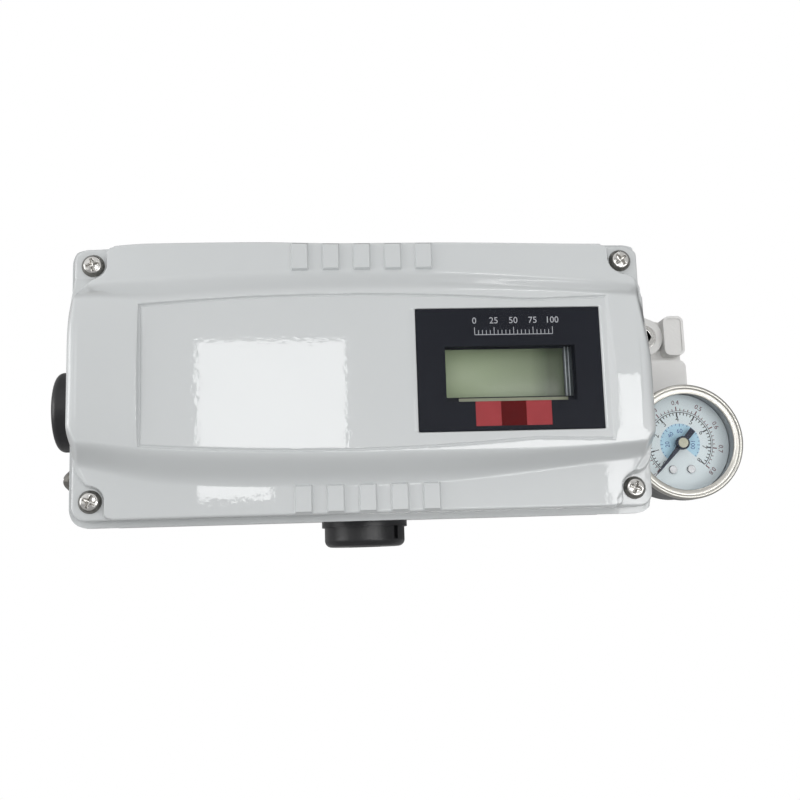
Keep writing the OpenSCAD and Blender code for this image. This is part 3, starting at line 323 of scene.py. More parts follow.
pointerBlue = finishOf("pointerBlue", (0.012, 0.018, 0.04), 0.45, vary=0.1, grain=1800, peel=0.004)
hubCream = finishOf("hubCream", (0.62, 0.61, 0.47), 0.35, vary=0.08, patch=600, grain=1800, peel=0.004)
bareAluminium = finishOf("bareAluminium", (0.7, 0.71, 0.72), 0.32, 1.0, vary=0.05, patch=200,
                         grain=1400, peel=0.01)
shaftSteel = finishOf("shaftSteel", (0.58, 0.585, 0.6), 0.24, 1.0, vary=0.05, patch=200, grain=1800,
                      peel=0.006, stretch=(1, 8, 1))
darkSteel = finishOf("darkSteel", (0.06, 0.06, 0.064), 0.42, 0.7, vary=0.15, patch=200, grain=1200,
                     peel=0.012)
coilCopper = finishOf("coilCopper", (0.5, 0.2, 0.08), 0.32, 0.9, vary=0.12, patch=300, grain=1500,
                      peel=0.015)
potBlue = finishOf("potBlue", (0.03, 0.08, 0.3), 0.4, vary=0.08, grain=1500, peel=0.01)
dialWhite = finishOf("dialWhite", (0.86, 0.95, 0.98), 0.5, vary=0.03, patch=60, grain=1800, peel=0.004)
discBlue = finishOf("discBlue", (0.53, 0.80, 0.97), 0.5, vary=0.05, patch=200, grain=1800, peel=0.004)
printBlack = finishOf("printBlack", (0.02, 0.02, 0.024), 0.5, vary=0.2, grain=2000)
printRed = finishOf("printRed", (0.15, 0.03, 0.045), 0.5, vary=0.1, grain=2000)
printBlue = finishOf("printBlue", (0.04, 0.11, 0.36), 0.5, vary=0.1, grain=2000)
barRed = finishOf("barRed", (0.345, 0.05, 0.055), 0.35, vary=0.05, patch=200, grain=1500, specular=0.05)
barDark = finishOf("barDark", (0.095, 0.002, 0.002), 0.35, vary=0.08, patch=200, grain=1500,
                   specular=0.05)
printGrey = finishOf("printGrey", (0.42, 0.43, 0.46), 0.4, vary=0.04, grain=1800)
edgeCream = finishOf("edgeCream", (0.34, 0.36, 0.25), 0.4, vary=0.05, patch=300, grain=1500)
edgeGlass = finishOf("edgeGlass", (0.075, 0.088, 0.092), 0.3, vary=0.1, patch=300, grain=1500)
edgeLine = finishOf("edgeLine", (0.55, 0.60, 0.62), 0.3, vary=0.1, patch=300, grain=1500)
# the LCD glass is lighter at the left and darker towards the right: the darkening is a painted shadow
# across the glass
lcdGlassShadowed = acrossFinish("lcdGlassShadowed", [(0.0, (0.39, 0.48, 0.29)), (0.5, (0.28, 0.34, 0.215)),
                                     (0.72, (0.225, 0.275, 0.17)), (0.88, (0.09, 0.115, 0.065)),
                                     (1.0, (0.10, 0.125, 0.072))], 0.0285, 0.0703, 0.3)
print("finishes ready")

slotFinish = {"grey_paint": greyPaint, "cast_grey": castPaint, "gasket_rubber": sealRubber,
              "nickel_steel": nickelSteel, "bright_bezel": bezelSteel, "clear_pane": clearPane,
              "mask_black": maskBlack, "lcd_green": lcdGlassShadowed, "board_green": boardGreen,
              "brass_turned": brassTurned, "key_white": keyWhite, "terminal_green": terminalGreen,
              "plug_black": plugBlack, "dial_white": dialWhite, "pointer_blue": pointerBlue,
              "bare_aluminium": bareAluminium, "shaft_steel": shaftSteel, "dark_steel": darkSteel,
              "coil_copper": coilCopper, "pot_blue": potBlue}
for row in frame["record"]["subparts"]:
    mesh = frame["nodes"][row["node"]].data
    mesh.materials.clear()
    mesh.materials.append(slotFinish[row["material_slot"]])

# cover: a fine grid raised to the casting's height, then walled and lined
cover = {"halfW": 101.0, "halfH": 48.0, "cornerR": 5.0, "rimZ": 59.0, "padZ": 63.0, "edgeR": 0.8,
         "shelfZ": 67.3, "shelfDrop": 2.6, "dropFrom": 50.0, "rightLean": 0.006,
         "crownZ": 76.0, "archR": 350.0, "flankY": 33.2, "flankBow": 5.2, "flankHalf": 5.6,
         "flankLeft": (-2.2, 2.5), "tightLeft": 1.4, "tightRight": (1.2, 2.7),
         "leftEase": (66, 101), "rightEase": (10, 90),
         "endR": (3.8, 5.0), "endTop": 75.5, "endRise": 2.2, "endReach": 14,
         "endLeft": ((8.0, 0.33), (15.0, 1.1)), "endRight": ((-5.5, 0.34), (20.0, 1.5)),
         "borderDeep": 0.38, "borderHalf": 0.45,
         "fieldZ": 74.7, "fieldHalf": 27.3, "fieldR": 800.0, "fieldMid": -8.0, "fieldX0": -76.6,
         "fieldTurn": 57.0, "fieldX1": 85.0, "fieldFlare": 25.5, "fieldSlope": 2.6, "fieldFade": 0.75,
         "screwIn": 6.5, "pocketR": 4.6, "flareR": 2.5, "pocketSlope": 5, "pocketReach": (17, 36),
         "leftTail": ((28.0, 25.0), (24.0, 17.0)), "rightTail": ((19.0, 8.0), (19.0, 8.0)),
         "tailFade": 0.35, "tailFrom": 11.0, "tailRise": 0.55,
         "ribAt": (-22.0, -11.0, 0.0, 11.0, 22.0), "ribHalf": 3.0, "ribIn": 0.5, "ribL": 9.5, "ribH": 1.25,
         "ribSlope": 2.6, "ribFoot": 0.4, "ribReach": 1.5,
         "softField": 0.25, "softEnd": 0.8, "softLimit": 1.6, "softRib": 0.3, "softFloor": 0.8,
         "softPocket": 0.7, "softTail": 1.6,
         "topEdge": ((1, -1.0, 20, 95), (-1, 0.7, 5, 40), (-1, -1.0, 76, 96)), "edgeFrom": (43.8, 47.6),
         "windowX": 50.0, "openHalfW": 32.4, "openHalfH": 21.55, "openBreak": 0.3,
         "ledgeZ": 70.8, "ledgeLow": 68.3, "ledgeHalfW": 26.0, "ledgeHalfH": 15.0, "ledgeWall": 3,
         "lowBreak": (0.4, 0.5), "shallowZ": 61.5, "hollowZ": 71.2, "hollowHalf": 21.9,
         "hollowStep": (21.8, 22.4), "inLeft": -97.0, "inLeftZ": 66.0, "inRight": 90.0, "inHalf": 44.0}


def pocketGap(u, v, tail):
    # distance outside the pocket about a screw; u and v run inwards from the end and the long edge
    i, r, f = cover["screwIn"], cover["pocketR"], cover["flareR"]
    length, outR = tail
    reach = i + r
    gap = min(math.hypot(u - i, v - i) - r, max(u - reach, v - i), max(u - i, v - reach))
    if v > length:
        run = math.hypot(u, (v - length) * cover["tailFade"])
    else:
        run = max(outR - math.hypot(u - outR, v - length), u - i, i - v)
    if v < f and u < reach + f:
        flare = f - math.hypot(u - reach - f, v - f)
    else:
        flare = math.hypot(max(0, u - reach - f), v) if v < f else max(u - reach, v - f)
    return min(softMin(gap, run, cover["softTail"]), flare)


def fieldGap(x, y):
    # distances outside the field's long and left edges, and past its right end
    c = cover
    if x < c["fieldTurn"]:
        half = c["fieldHalf"] - (x - c["fieldMid"]) ** 2 / (2 * c["fieldR"])
    else:
        turn = c["fieldHalf"] - (c["fieldTurn"] - c["fieldMid"]) ** 2 / (2 * c["fieldR"])
        share = min((x - c["fieldTurn"]) / (c["fieldX1"] - c["fieldTurn"]), 1)
        half = turn + (c["fieldFlare"] - turn) * share
    return max(c["fieldX0"] - x, abs(y) - half), x - c["fieldX1"]


def coverHeight(x, y):
    c = cover
    u, v = c["halfW"] - abs(x), c["halfH"] - abs(y)
    low = int(y < 0)
    # shelf, and the crown with its soft flanks
    fall = max(0, -x - c["dropFrom"]) / (c["halfW"] - c["dropFrom"])
    shelf = c["shelfZ"] - c["shelfDrop"] * fall * fall - c["rightLean"] * max(0, x - c["dropFrom"])
    nearLeft, nearRight = smoothStep(-x, *c["leftEase"]), smoothStep(x, *c["rightEase"])
    flank = c["flankY"] - c["flankBow"] * (x / c["halfW"]) ** 2 - c["flankLeft"][low] * nearLeft
    top = c["crownZ"] - y * y / (2 * c["archR"])
    half = c["flankHalf"] - c["tightLeft"] * nearLeft - c["tightRight"][low] * nearRight
    z = shelf + (top - shelf) * (1 - smoothStep(abs(y), flank - half, flank + half))
    # the field let into the crown, with a fine line round it
    side, end = fieldGap(x, y)
    z = softMin(z, c["fieldZ"] + max(0, c["fieldSlope"] * side, c["fieldFade"] * end), c["softField"])
    if end < 0:
        z -= c["borderDeep"] * max(0, 1 - ((side + c["borderHalf"]) / c["borderHalf"]) ** 2)
    # the crown's rounded ends
    endR = c["endR"][int(x > 0)]
    if u < endR:
        drop = endR - math.sqrt(max(0, endR ** 2 - (endR - u) ** 2))
        z = softMin(z, c["crownZ"] - drop, c["softEnd"])
    if u < c["endReach"]:
        start, slope = c["endLeft" if x < 0 else "endRight"][low]
        limit = c["endTop"] - slope * max(0, abs(y) - start) + c["endRise"] * u
        z = softMin(z, max(shelf, limit), c["softLimit"])
    # ribs, and the pockets of the screws
    for at in c["ribAt"]:
        gap = max(abs(x - at) - c["ribHalf"], v - c["ribIn"] - c["ribL"], c["ribIn"] - v)
        if gap < c["ribReach"]:
            z = softMax(z, shelf + c["ribH"] - max(0, gap + c["ribFoot"]) * c["ribSlope"], c["softRib"])
    if u < c["pocketReach"][0] and v < c["pocketReach"][1]:
        gap = pocketGap(u, v, c["leftTail" if x < 0 else "rightTail"][low])
        pad = c["padZ"] + (c["tailRise"] * max(0, v - c["tailFrom"]) if x < 0 < y else 0)
        z = softMin(z, softMax(pad, pad + c["pocketSlope"] * gap, c["softFloor"]), c["softPocket"])
    return z


def squareToRound(x, y, halfW, halfH, r):
    # maps the square corners of a grid onto rounded ones
    a, b = (abs(x) - halfW + r) / r, (abs(y) - halfH + r) / r
    if a <= 0 or b <= 0:
        return x, y
    a, b = a * math.sqrt(1 - b * b / 2) * r, b * math.sqrt(1 - a * a / 2) * r
    return math.copysign(halfW - r + a, x), math.copysign(halfH - r + b, y)


def edgeDrop(x, y):
    # the small radius along the cover's outline
    r, cornerR = cover["edgeR"], cover["cornerR"]
    a, b = abs(x) - (cover["halfW"] - cornerR), abs(y) - (cover["halfH"] - cornerR)
    inside = cornerR - (math.hypot(a, b) if a > 0 and b > 0 else max(a, b))
    return r - math.sqrt(max(0, r * r - (r - inside) ** 2)) if inside < r else 0


def edgeShift(x, y):
    # the upper edge rises a little left of the middle, and sinks at the right and at the left pad
    shift = sum(rise * smoothStep(side * x, low, high) for side, rise, low, high in cover["topEdge"])
    return shift * smoothStep(y, *cover["edgeFrom"])


def moveNearest(lines, value):
    lines[min(range(len(lines)), key=lambda k: abs(lines[k] - value))] = value


def coverLines():
    # close lines where the surface turns, and wide ones elsewhere
    c = cover
    ribs = []
    for at in c["ribAt"]:
        ribs += [(at - 4, at - 3.6, 0.4), (at - 3.6, at - 2.4, 0.2), (at - 2.4, at + 2.4, 1.2),
                 (at + 2.4, at + 3.6, 0.2), (at + 3.6, at + 4, 0.4), (at + 4, at + 7, 1.5)]
    xLines = gridLines([(-101, -100.7, 0.15), (-100.7, -99.8, 0.3), (-99.8, -84, 0.4), (-84, -78, 1.2),
                        (-78, -75.6, 0.24), (-75.6, -26, 1.6)] + ribs[:-1]
                       + [(26, 80, 1.6), (80, 84, 0.5), (84, 88, 0.26), (88, 99.8, 0.4), (99.8, 100.7, 0.3),
                          (100.7, 101, 0.15)])
    upper = gridLines([(0, 12, 1.5), (12, 21, 0.75), (21, 22.6, 0.4), (22.6, 27.8, 0.2), (27.8, 37, 0.4),
                       (37, 39.4, 0.22), (39.4, 46.6, 0.4), (46.6, 47.7, 0.22), (47.7, 48, 0.15)])
    yLines = [-y for y in reversed(upper[1:])] + upper
    for side in (-1, 1):
        moveNearest(xLines, c["windowX"] + side * c["openHalfW"])
        moveNearest(yLines, side * c["openHalfH"])
    return xLines, yLines


def inWindow(point, halfW, halfH, spare=0.0):
    return abs(point.x - cover["windowX"]) < halfW + spare and abs(point.y) < halfH + spare


def makeCover():
    c = cover
    bm = bmesh.new()
    for v in stretchedGrid(bm, *coverLines()):
        x, y = squareToRound(v.co.x, v.co.y, c["halfW"], c["halfH"], c["cornerR"])
        v.co = (x, y + edgeShift(x, y), coverHeight(x, y) - edgeDrop(x, y))
    # window opening with a broken edge, then the ledge under the pane
    opened = [f for f in bm.faces if inWindow(f.calc_center_median(), c["openHalfW"], c["openHalfH"])]
    bmesh.ops.delete(bm, geom=opened, context="FACES")
    rim = boundaryEdges(bm)
    hole = [e for e in rim if all(inWindow(v.co, c["openHalfW"], c["openHalfH"], 0.1) for v in e.verts)]
    outline = list(set(rim) - set(hole))
    for v in {v for e in hole for v in e.verts}:
        v.co.z -= c["openBreak"]
    hole = pulled(bm, hole, lambda p: Vector((p.x, p.y, c["ledgeZ"])))
    inX, inY = c["ledgeHalfW"] / c["openHalfW"], c["ledgeHalfH"] / c["openHalfH"]
    hole = pulled(bm, hole, lambda p: Vector((c["windowX"] + (p.x - c["windowX"]) * inX, p.y * inY, p.z)))
    hole = pulled(bm, hole, lambda p: Vector((p.x, p.y, c["ledgeLow"])))
    # outer wall with a broken lower edge
    inBy, upBy = c["lowBreak"]
    outline = pulled(bm, outline, lambda p: Vector((p.x, p.y, c["rimZ"] + upBy)))
    narrow = Vector((1 - inBy / c["halfW"], 1 - inBy / c["halfH"], 1))
    outline = pulled(bm, outline, lambda p: Vector((p.x * narrow.x, p.y * narrow.y, c["rimZ"])))
    # lining of the hollow
    outside = set(bm.faces)
    left, right = [c["windowX"] + side * (c["openHalfW"] + c["ledgeWall"]) for side in (-1, 1)]
    ledge0, ledge1 = [c["windowX"] + side * c["ledgeHalfW"] for side in (-1, 1)]
    xLines = gridLines([(c["inLeft"], left, 9), (left, ledge0, 4), (ledge0, ledge1, 6.5),
                        (ledge1, right, 5), (right, c["inRight"], 4)])
    step0, step1 = c["hollowStep"]
    half = gridLines([(0, c["ledgeHalfH"], 5), (c["ledgeHalfH"], step0, 3.4), (step0, step1, 0.6),
                      (step1, c["inHalf"], 5.4)])
    lining = stretchedGrid(bm, xLines, [-y for y in reversed(half[1:])] + half)
    for v in lining:
        v.co.z = c["hollowZ"] if abs(v.co.y) < c["hollowHalf"] else c["shallowZ"]
        if abs(v.co.y) < c["hollowHalf"] and left - 0.1 < v.co.x < right + 0.1:
            v.co.z = c["ledgeLow"]
        if v.co.x < c["inLeft"] + 0.1:
            v.co.z = min(v.co.z, c["inLeftZ"])
    ledge = c["ledgeHalfW"], c["ledgeHalfH"]
    inner = [f for f in bm.faces if f not in outside and inWindow(f.calc_center_median(), *ledge)]
    bmesh.ops.delete(bm, geom=inner, context="FACES")
    lined = {v for v in lining if v.is_valid}
    loose = [e for e in boundaryEdges(bm) if e.verts[0] in lined]
    innerHole = [e for e in loose if all(inWindow(v.co, *ledge, 0.1) for v in e.verts)]
    innerRim = pulled(bm, list(set(loose) - set(innerHole)), lambda p: Vector((p.x, p.y, c["rimZ"])))
    bmesh.ops.triangle_fill(bm, use_beauty=True, edges=outline + innerRim)
    bmesh.ops.triangle_fill(bm, use_beauty=True, edges=hole + innerHole)
    bmesh.ops.recalc_face_normals(bm, faces=bm.faces[:])
    makePiece("coverCasting", bm, greyPaint, "housing", ["cover"], smooth=42)


makeCover()

# cover screws: pan heads with a tapered cross, each stopped at its own angle
coverScrew = {"at": ((-94.5, 41.5), (94.5, 41.5), (94.5, -41.5), (-94.5, -41.5)),
              "turns": (12, 37, 68, -24), "seatZ": 63.0, "headR": 4.0, "headH": 2.3, "sideH": 0.35,
              "sideLean": 1.7, "crownShare": 0.74, "armHalf": 0.6, "armL": 2.35, "crossDeep": 1.7,
              "shankR": 1.95, "shankL": 16.0}

# what the heads of both sizes share
panShape = {"crownDrop": 0.35, "softSide": 0.5, "armSpread": 1.25, "armTaper": 6, "floorLean": 0.28,
            "wallSlope": 2.6, "wallDrop": 0.15, "softCross": 0.12, "footH": 0.15, "footShare": 0.965}


def screwTop(x, y, spec):
    s = panShape
    r = math.hypot(x, y) / spec["headR"]
    dome = spec["headH"] - s["crownDrop"] * (r / spec["crownShare"]) ** 2
    dome = softMin(dome, spec["sideH"] + (1 - r) * spec["headR"] * spec["sideLean"], s["softSide"])
    halfX = spec["armHalf"] * (s["armSpread"] - abs(y) / s["armTaper"])
    halfY = spec["armHalf"] * (s["armSpread"] - abs(x) / s["armTaper"])
    arm = min(max(abs(x) - halfX, abs(y) - spec["armL"]), max(abs(y) - halfY, abs(x) - spec["armL"]))
    floor = spec["headH"] - spec["crossDeep"] + s["floorLean"] * math.hypot(x, y)
    wall = spec["headH"] + arm * s["wallSlope"] - s["wallDrop"]
    return softMin(dome, max(floor, wall), s["softCross"])


def panHead(spec, count=44):
    # the head as a square grid drawn round, with its side and shank
    bm = bmesh.new()
    lines = [spec["headR"] * (2 * i / count - 1) for i in range(count + 1)]
    for v in stretchedGrid(bm, lines, lines):
        x, y = squareToRound(v.co.x, v.co.y, spec["headR"], spec["headR"], spec["headR"])
        v.co = (x, y, screwTop(x, y, spec))
    rim = boundaryEdges(bm)
    foot = panShape["footShare"]
    rim = pulled(bm, rim, lambda p: Vector((p.x, p.y, panShape["footH"])))
    rim = pulled(bm, rim, lambda p: Vector((p.x * foot, p.y * foot, 0)))
    inward = spec["shankR"] / (spec["headR"] * foot)
    rim = pulled(bm, rim, lambda p: Vector((p.x * inward, p.y * inward, 0)))
    rim = pulled(bm, rim, lambda p: Vector((p.x, p.y, -spec["shankL"])))
    bmesh.ops.triangle_fill(bm, use_beauty=True, edges=rim)
    bmesh.ops.recalc_face_normals(bm, faces=bm.faces[:])
    # faces past the crown take the second finish, a darker copy of the steel: painted shade and dark
    # reflection on the head's sides
    for face in bm.faces:
        face.material_index = int(face.calc_center_median().xy.length > spec["crownShare"] * spec["headR"])
    return bm


def makeCoverScrews():
    spec = coverScrew
    bm = bmesh.new()
    for at, turn in zip(spec["at"], spec["turns"]):
        part = panHead(spec)
        place = Matrix.Translation((*at, spec["seatZ"])) @ Matrix.Rotation(math.radians(turn), 4, "Z")
        bmesh.ops.transform(part, matrix=place, verts=part.verts[:])
        addTo(bm, part, None)
    makePiece("coverScrews", bm, [nickelSteel, screwShade], "housing", ["cover_screws"],
              smooth=38)


makeCoverScrews()

# earth screw on the base's left side
earthScrew = {"headR": 3.8, "headH": 3.4, "sideH": 1.0, "sideLean": 1.1, "crownShare": 0.45,
              "armHalf": 0.5, "armL": 2.2, "crossDeep": 1.7, "shankR": 2.45, "shankL": 10.0,
              "seat": (-104.7, -32.5, 44.0), "turn": 20}


def makeEarthScrew():
    spec = earthScrew
    bm = panHead(spec, 32)
    turned = Matrix.Rotation(math.radians(spec["turn"]), 4, "Z")
    toLeft = Matrix.Rotation(math.radians(-90), 4, "Y") @ turned
    bmesh.ops.transform(bm, matrix=Matrix.Translation(spec["seat"]) @ toLeft, verts=bm.verts[:])
    makePiece("earthScrew", bm, [nickelSteel, earthSideShade], "housing", ["earth_screw"],
              smooth=38)


makeEarthScrew()

# castings and fittings taken over from the CAD pieces
baseRim = {"sideX": 0.101, "topZ": 0.048, "fromY": -0.0540, "share": (0.8, 0.3), "topShare": 0.45}


def drawnIn(point):
    # the base's rim stands out less at its ends and its top than at the bottom
    x, y, z = point
    over, above = abs(x) - baseRim["sideX"], z - baseRim["topZ"]
    if y > baseRim["fromY"]:
        return point
    if over > 0:
        x = math.copysign(baseRim["sideX"] + over * baseRim["share"][int(x > 0)], x)
    if above > 0:
        z = baseRim["topZ"] + above * baseRim["topShare"]
    return Vector((x, y, z))


# the left plug's middle, and the gauge's axis, in metres
plugTurn = Matrix.Rotation(math.radians(90), 4, "X")
plugAt = Matrix.Translation((0, -0.029, -0.0054))
gaugeAt = Vector((0.1183, 0, -0.0244))


def quarterTurned(point):
    return plugAt @ plugTurn @ plugAt.inverted() @ point


def facesAxis(face):
    # the inner wall of the gauge's can
    spoke = (face.calc_center_median() - gaugeAt) * Vector((1, 0, 1))
    return spoke.dot(face.normal) < -0.3 * spoke.length


def facesAside(face):
    # all but the faces that look to the front, which take painted shade on the dial screws' sides
    return face.normal.y > -0.8


def socketOf(node, radius):
    # tells the faces of a socket in the front of a node, within a radius of its middle
    points = [v.co for v in frame["nodes"][node].data.vertices]
    front = min(p.y for p in points)
    low, high = [[end(p[i] for p in points) for i in (0, 2)] for end in (min, max)]
    axis = Vector(((low[0] + high[0]) / 2, 0, (low[1] + high[1]) / 2))

    def inSocket(face):
        at = face.calc_center_median()
        return at.y > front + 0.0005 and ((at - axis) * Vector((1, 0, 1))).length < radius

    return inSocket


dressNode("base_housing", "baseCasting", greyPaint, 0.9, 3, shape=drawnIn)
dressNode("manifold", "manifoldCasting", castPaint, 0.6, 3)
dressNode("left_conduit_plug", "leftPlug", plugBlack, 0.35, shape=quarterTurned)
dressNode("bottom_conduit_plug", "bottomPlug", plugBlack, 0.35)
# the socket's walls and floor take the dark finish: painted shade in the recess
dressNode("gauge_port_plug", "portPlug", [nickelSteel, socketAndSideShade], 0.3,
          picks=socketOf("gauge_port_plug", 0.0031))
# the can's outside is dark, partly its black case and partly painted shade; its inner wall takes the
# lighter lining
dressNode("gauge_case", "gaugeCan", [blackCanAndShade, canLining], 0.5, 3, picks=facesAxis)
dressNode("earth_washer", "earthWasher", nickelSteel, 0.25)
dressNode("manifold_screws", "manifoldScrews", darkSteel, 0.2)
dressNode("gauge_dial_screws", "dialScrews", [screwDull, socketAndSideShade], 0.2, picks=facesAside)
dressNode("window_pane", "windowPane", clearPane, 0.25)
dressNode("main_shaft", "feedbackShaft", shaftSteel, 0.25, body="feedback_shaft")
dressNode("gauge_stem", "gaugeStem", brassTurned, 0.3)

# display: glass behind the pane, its edges, and what is printed on the back of the pane's face
display = {"glassLow": (26.85, -9.315, 66.0), "glassHigh": (70.35, 8.285, 67.8),
           "footLow": (26.9, -12.6, 66.5), "footHigh": (74.6, -8.8, 67.9),
           "stripLow": (32.6, -12.6, 67.8), "stripHigh": (71.4, -9.2, 68.2),
           "sideLow": (70.4, -8.9, 66.5), "sideHigh": (74.6, 8.6, 68.5),
           "lineX": (70.75, 71.95), "lineW": 0.32, "lineHigh": 68.7,
           "filmMid": (50.0, 0.0), "filmHalf": (32.3, 21.45), "filmZ": 74.56, "filmT": 0.08,
           "sightLow": (27.6, -11.3), "sightHigh": (73.1, 8.0), "inkThick": 0.02,
           "barX": (37.45, 63.85), "barY": (-19.85, -11.35), "scaleX": (38.2, 65.6), "scaleY": 12.2,
           "tickL": (1.5, 2.5), "tickW": 0.22, "ticks": 20, "numbers": (0, 25, 50, 75, 100),
           "numberSize": 3.2, "numberY": 17.0, "glassR": 0.15, "stripR": 0.1, "lineR": 0.08}


def makeFilm():
    # four strips about the sight
    d = display
    low, high = d["filmZ"], d["filmZ"] + d["filmT"]
    x0, x1 = [d["filmMid"][0] + side * d["filmHalf"][0] for side in (-1, 1)]
    y0, y1 = [d["filmMid"][1] + side * d["filmHalf"][1] for side in (-1, 1)]
    (sx0, sy0), (sx1, sy1) = d["sightLow"], d["sightHigh"]
    bm = bmesh.new()
    block(bm, (x0, y0, low), (x1, sy0, high))
    block(bm, (x0, sy1, low), (x1, y1, high))
    block(bm, (x0, sy0, low), (sx0, sy1, high))
    block(bm, (sx1, sy0, low), (x1, sy1, high))
    makePiece("paneFilm", bm, maskBlack, "housing")


def makeDisplay():
    d = display
    bm = bmesh.new()
    block(bm, d["glassLow"], d["glassHigh"], d["glassR"])
    makePiece("lcdGlassShadowed", bm, lcdGlassShadowed, "housing", ["lcd_glass"])
    bm = bmesh.new()
    block(bm, d["footLow"], d["footHigh"], 0, 1)
    block(bm, d["stripLow"], d["stripHigh"], d["stripR"])
    block(bm, d["sideLow"], d["sideHigh"], 0, 2)
    for x in d["lineX"]:
        low = x, d["sideLow"][1], d["sideHigh"][2]
        block(bm, low, (x + d["lineW"], d["sideHigh"][1], d["lineHigh"]), d["lineR"], 3)
    makePiece("lcdEdge", bm, [edgeCream, maskBlack, edgeGlass, edgeLine], "housing")
    bm = bmesh.new()
    low = d["filmZ"] + d["filmT"]
    high = low + d["inkThick"]
    step = (d["barX"][1] - d["barX"][0]) / 3
    for i in range(3):
        x = d["barX"][0] + i * step
        block(bm, (x, d["barY"][0], low), (x + step, d["barY"][1], high), 0, i % 2)
    makePiece("maskBar", bm, [barRed, barDark], "housing")
    bm = bmesh.new()
    span = d["scaleX"][1] - d["scaleX"][0]
    block(bm, (d["scaleX"][0], d["scaleY"] - d["tickW"], low), (d["scaleX"][1], d["scaleY"], high))
    for i in range(d["ticks"] + 1):
        x = d["scaleX"][0] + span * i / d["ticks"]
        reach = d["tickL"][1] if i % 5 == 0 else d["tickL"][0]
        block(bm, (x - d["tickW"] / 2, d["scaleY"], low), (x + d["tickW"] / 2, d["scaleY"] + reach, high))
    for number in d["numbers"]:
        at = (d["scaleX"][0] + span * number / 100, d["numberY"])
        printedWords(bm, str(number), d["numberSize"], at, 0, low, d["inkThick"])
    makePiece("maskScale", bm, printGrey, "housing")


makeFilm()
makeDisplay()

# gauge: rolled bezel, printed dial and pointer
gauge = {"axis": (118.3, -24.4), "bezelZ": 53.5, "bezelR": 21.25, "rollR": 0.9, "sightR": 17.75,
         "skirtZ": 46.0, "skirtDrop": 2.2, "canR": 20.1, "lensTop": 52.5, "dialTop": 45.5,
         "inkThick": 0.03, "zero": 228.0, "sweep": 270.0, "divisions": 40, "perNumber": 5,
         "blackBand": 0.24, "redBand": 0.17,
         "blackR": 11.75, "blackNumberR": 9.3, "blackTicks": ((1.6, 0.5), (0.9, 0.32)), "blackSize": 2.7,
         "redR": 12.4, "redNumberR": 15.5, "redTicks": ((1.7, 0.4), (0.95, 0.25)), "redSize": 2.4,
         "discR": 7.6, "blueNumberR": 4.8, "blueTicks": (1.1, 0.6), "blueTickW": 0.22, "blueSize": 2.3,
         "blueEnd": 116, "blueStep": 5, "bluePerNumber": 20,
         "pointerZ": 47.5, "pointerT": 0.5, "pointerR": 0.1, "pointerL": 15.3, "tailL": 6.7,
         "tailHalf": 1.15, "neckHalf": 1.02, "tipHalf": 0.2, "hubR": 2.5, "hubH": 1.8, "capR": 1.9,
         "arborR": 1.0, "arborZ": 37.5}


def makeBezel():
    # profile from the lens over the rolled edge and down the skirt to the can
    g = gauge
    r, top, sight, lens, skirt = g["bezelR"], g["bezelZ"], g["sightR"], g["lensTop"], g["skirtZ"]
    roll = g["rollR"]
    turns = [math.radians(d) for d in range(-40, 91, 10)]
    arc = [(r - roll + roll * math.sin(a), top - roll + roll * math.cos(a)) for a in turns]
    profile = [(sight, lens + 0.1), (sight + 0.08, lens + 0.24), (sight + 0.3, lens + 0.36),
               (r - 1.75, top - 0.42), (r - 1.6, top - 0.45), *arc, (r, top - g["skirtDrop"]),
               (r, skirt + 0.5), (r - 0.15, skirt + 0.1), (r - 0.45, skirt),
               (g["canR"], skirt), (g["canR"], lens + 0.1), (sight, lens + 0.1)]
    bm = bmesh.new()
    spun(bm, profile, 128, g["axis"])
    # the skirt below the roll takes the dark can finish: painted shade on the bezel's skirt
    for face in bm.faces:
        face.material_index = int(face.calc_center_median().z < top - g["skirtDrop"])
    makePiece("gaugeBezel", bm, [bezelSteel, blackCanAndShade], "housing", ["gauge_bezel"],
              smooth=40)


def dialTick(bm, share, r0, r1, width, tint=0):
    g = gauge
    x, y = g["axis"]
    turn = math.radians(g["zero"] - g["sweep"] * share)
    z = g["dialTop"]
    low, high = (x + r0, y - width / 2, z), (x + r1, y + width / 2, z + g["inkThick"])
    block(bm, low, high, 0, tint, turn, g["axis"])


def dialNumber(bm, words, share, r, size, tint=0):
    g = gauge
    turn = math.radians(g["zero"] - g["sweep"] * share)
    at = (g["axis"][0] + r * math.cos(turn), g["axis"][1] + r * math.sin(turn))
    printedWords(bm, words, size, at, turn - math.pi / 2, g["dialTop"], g["inkThick"], tint)


def dialBand(bm, r0, r1, lift=0.0):
    # a band along the sweep of the scale
    g = gauge
    part = bmesh.new()
    low, high = g["dialTop"] + lift, g["dialTop"] + lift + g["inkThick"]
    corners = [(r0, 0, low), (r1, 0, low), (r1, 0, high), (r0, 0, high)]
    face = part.faces.new([part.verts.new(p) for p in corners])
    start = Matrix.Rotation(math.radians(g["zero"]), 3, "Z")
    bmesh.ops.rotate(part, cent=(0, 0, 0), matrix=start, verts=part.verts[:])
    bmesh.ops.spin(part, geom=[face, *face.edges, *face.verts], cent=(0, 0, 0), axis=(0, 0, 1),
                   angle=-math.radians(g["sweep"]), steps=72)
    bmesh.ops.recalc_face_normals(part, faces=part.faces[:])
    bmesh.ops.translate(part, vec=(*g["axis"], 0), verts=part.verts[:])
    addTo(bm, part)


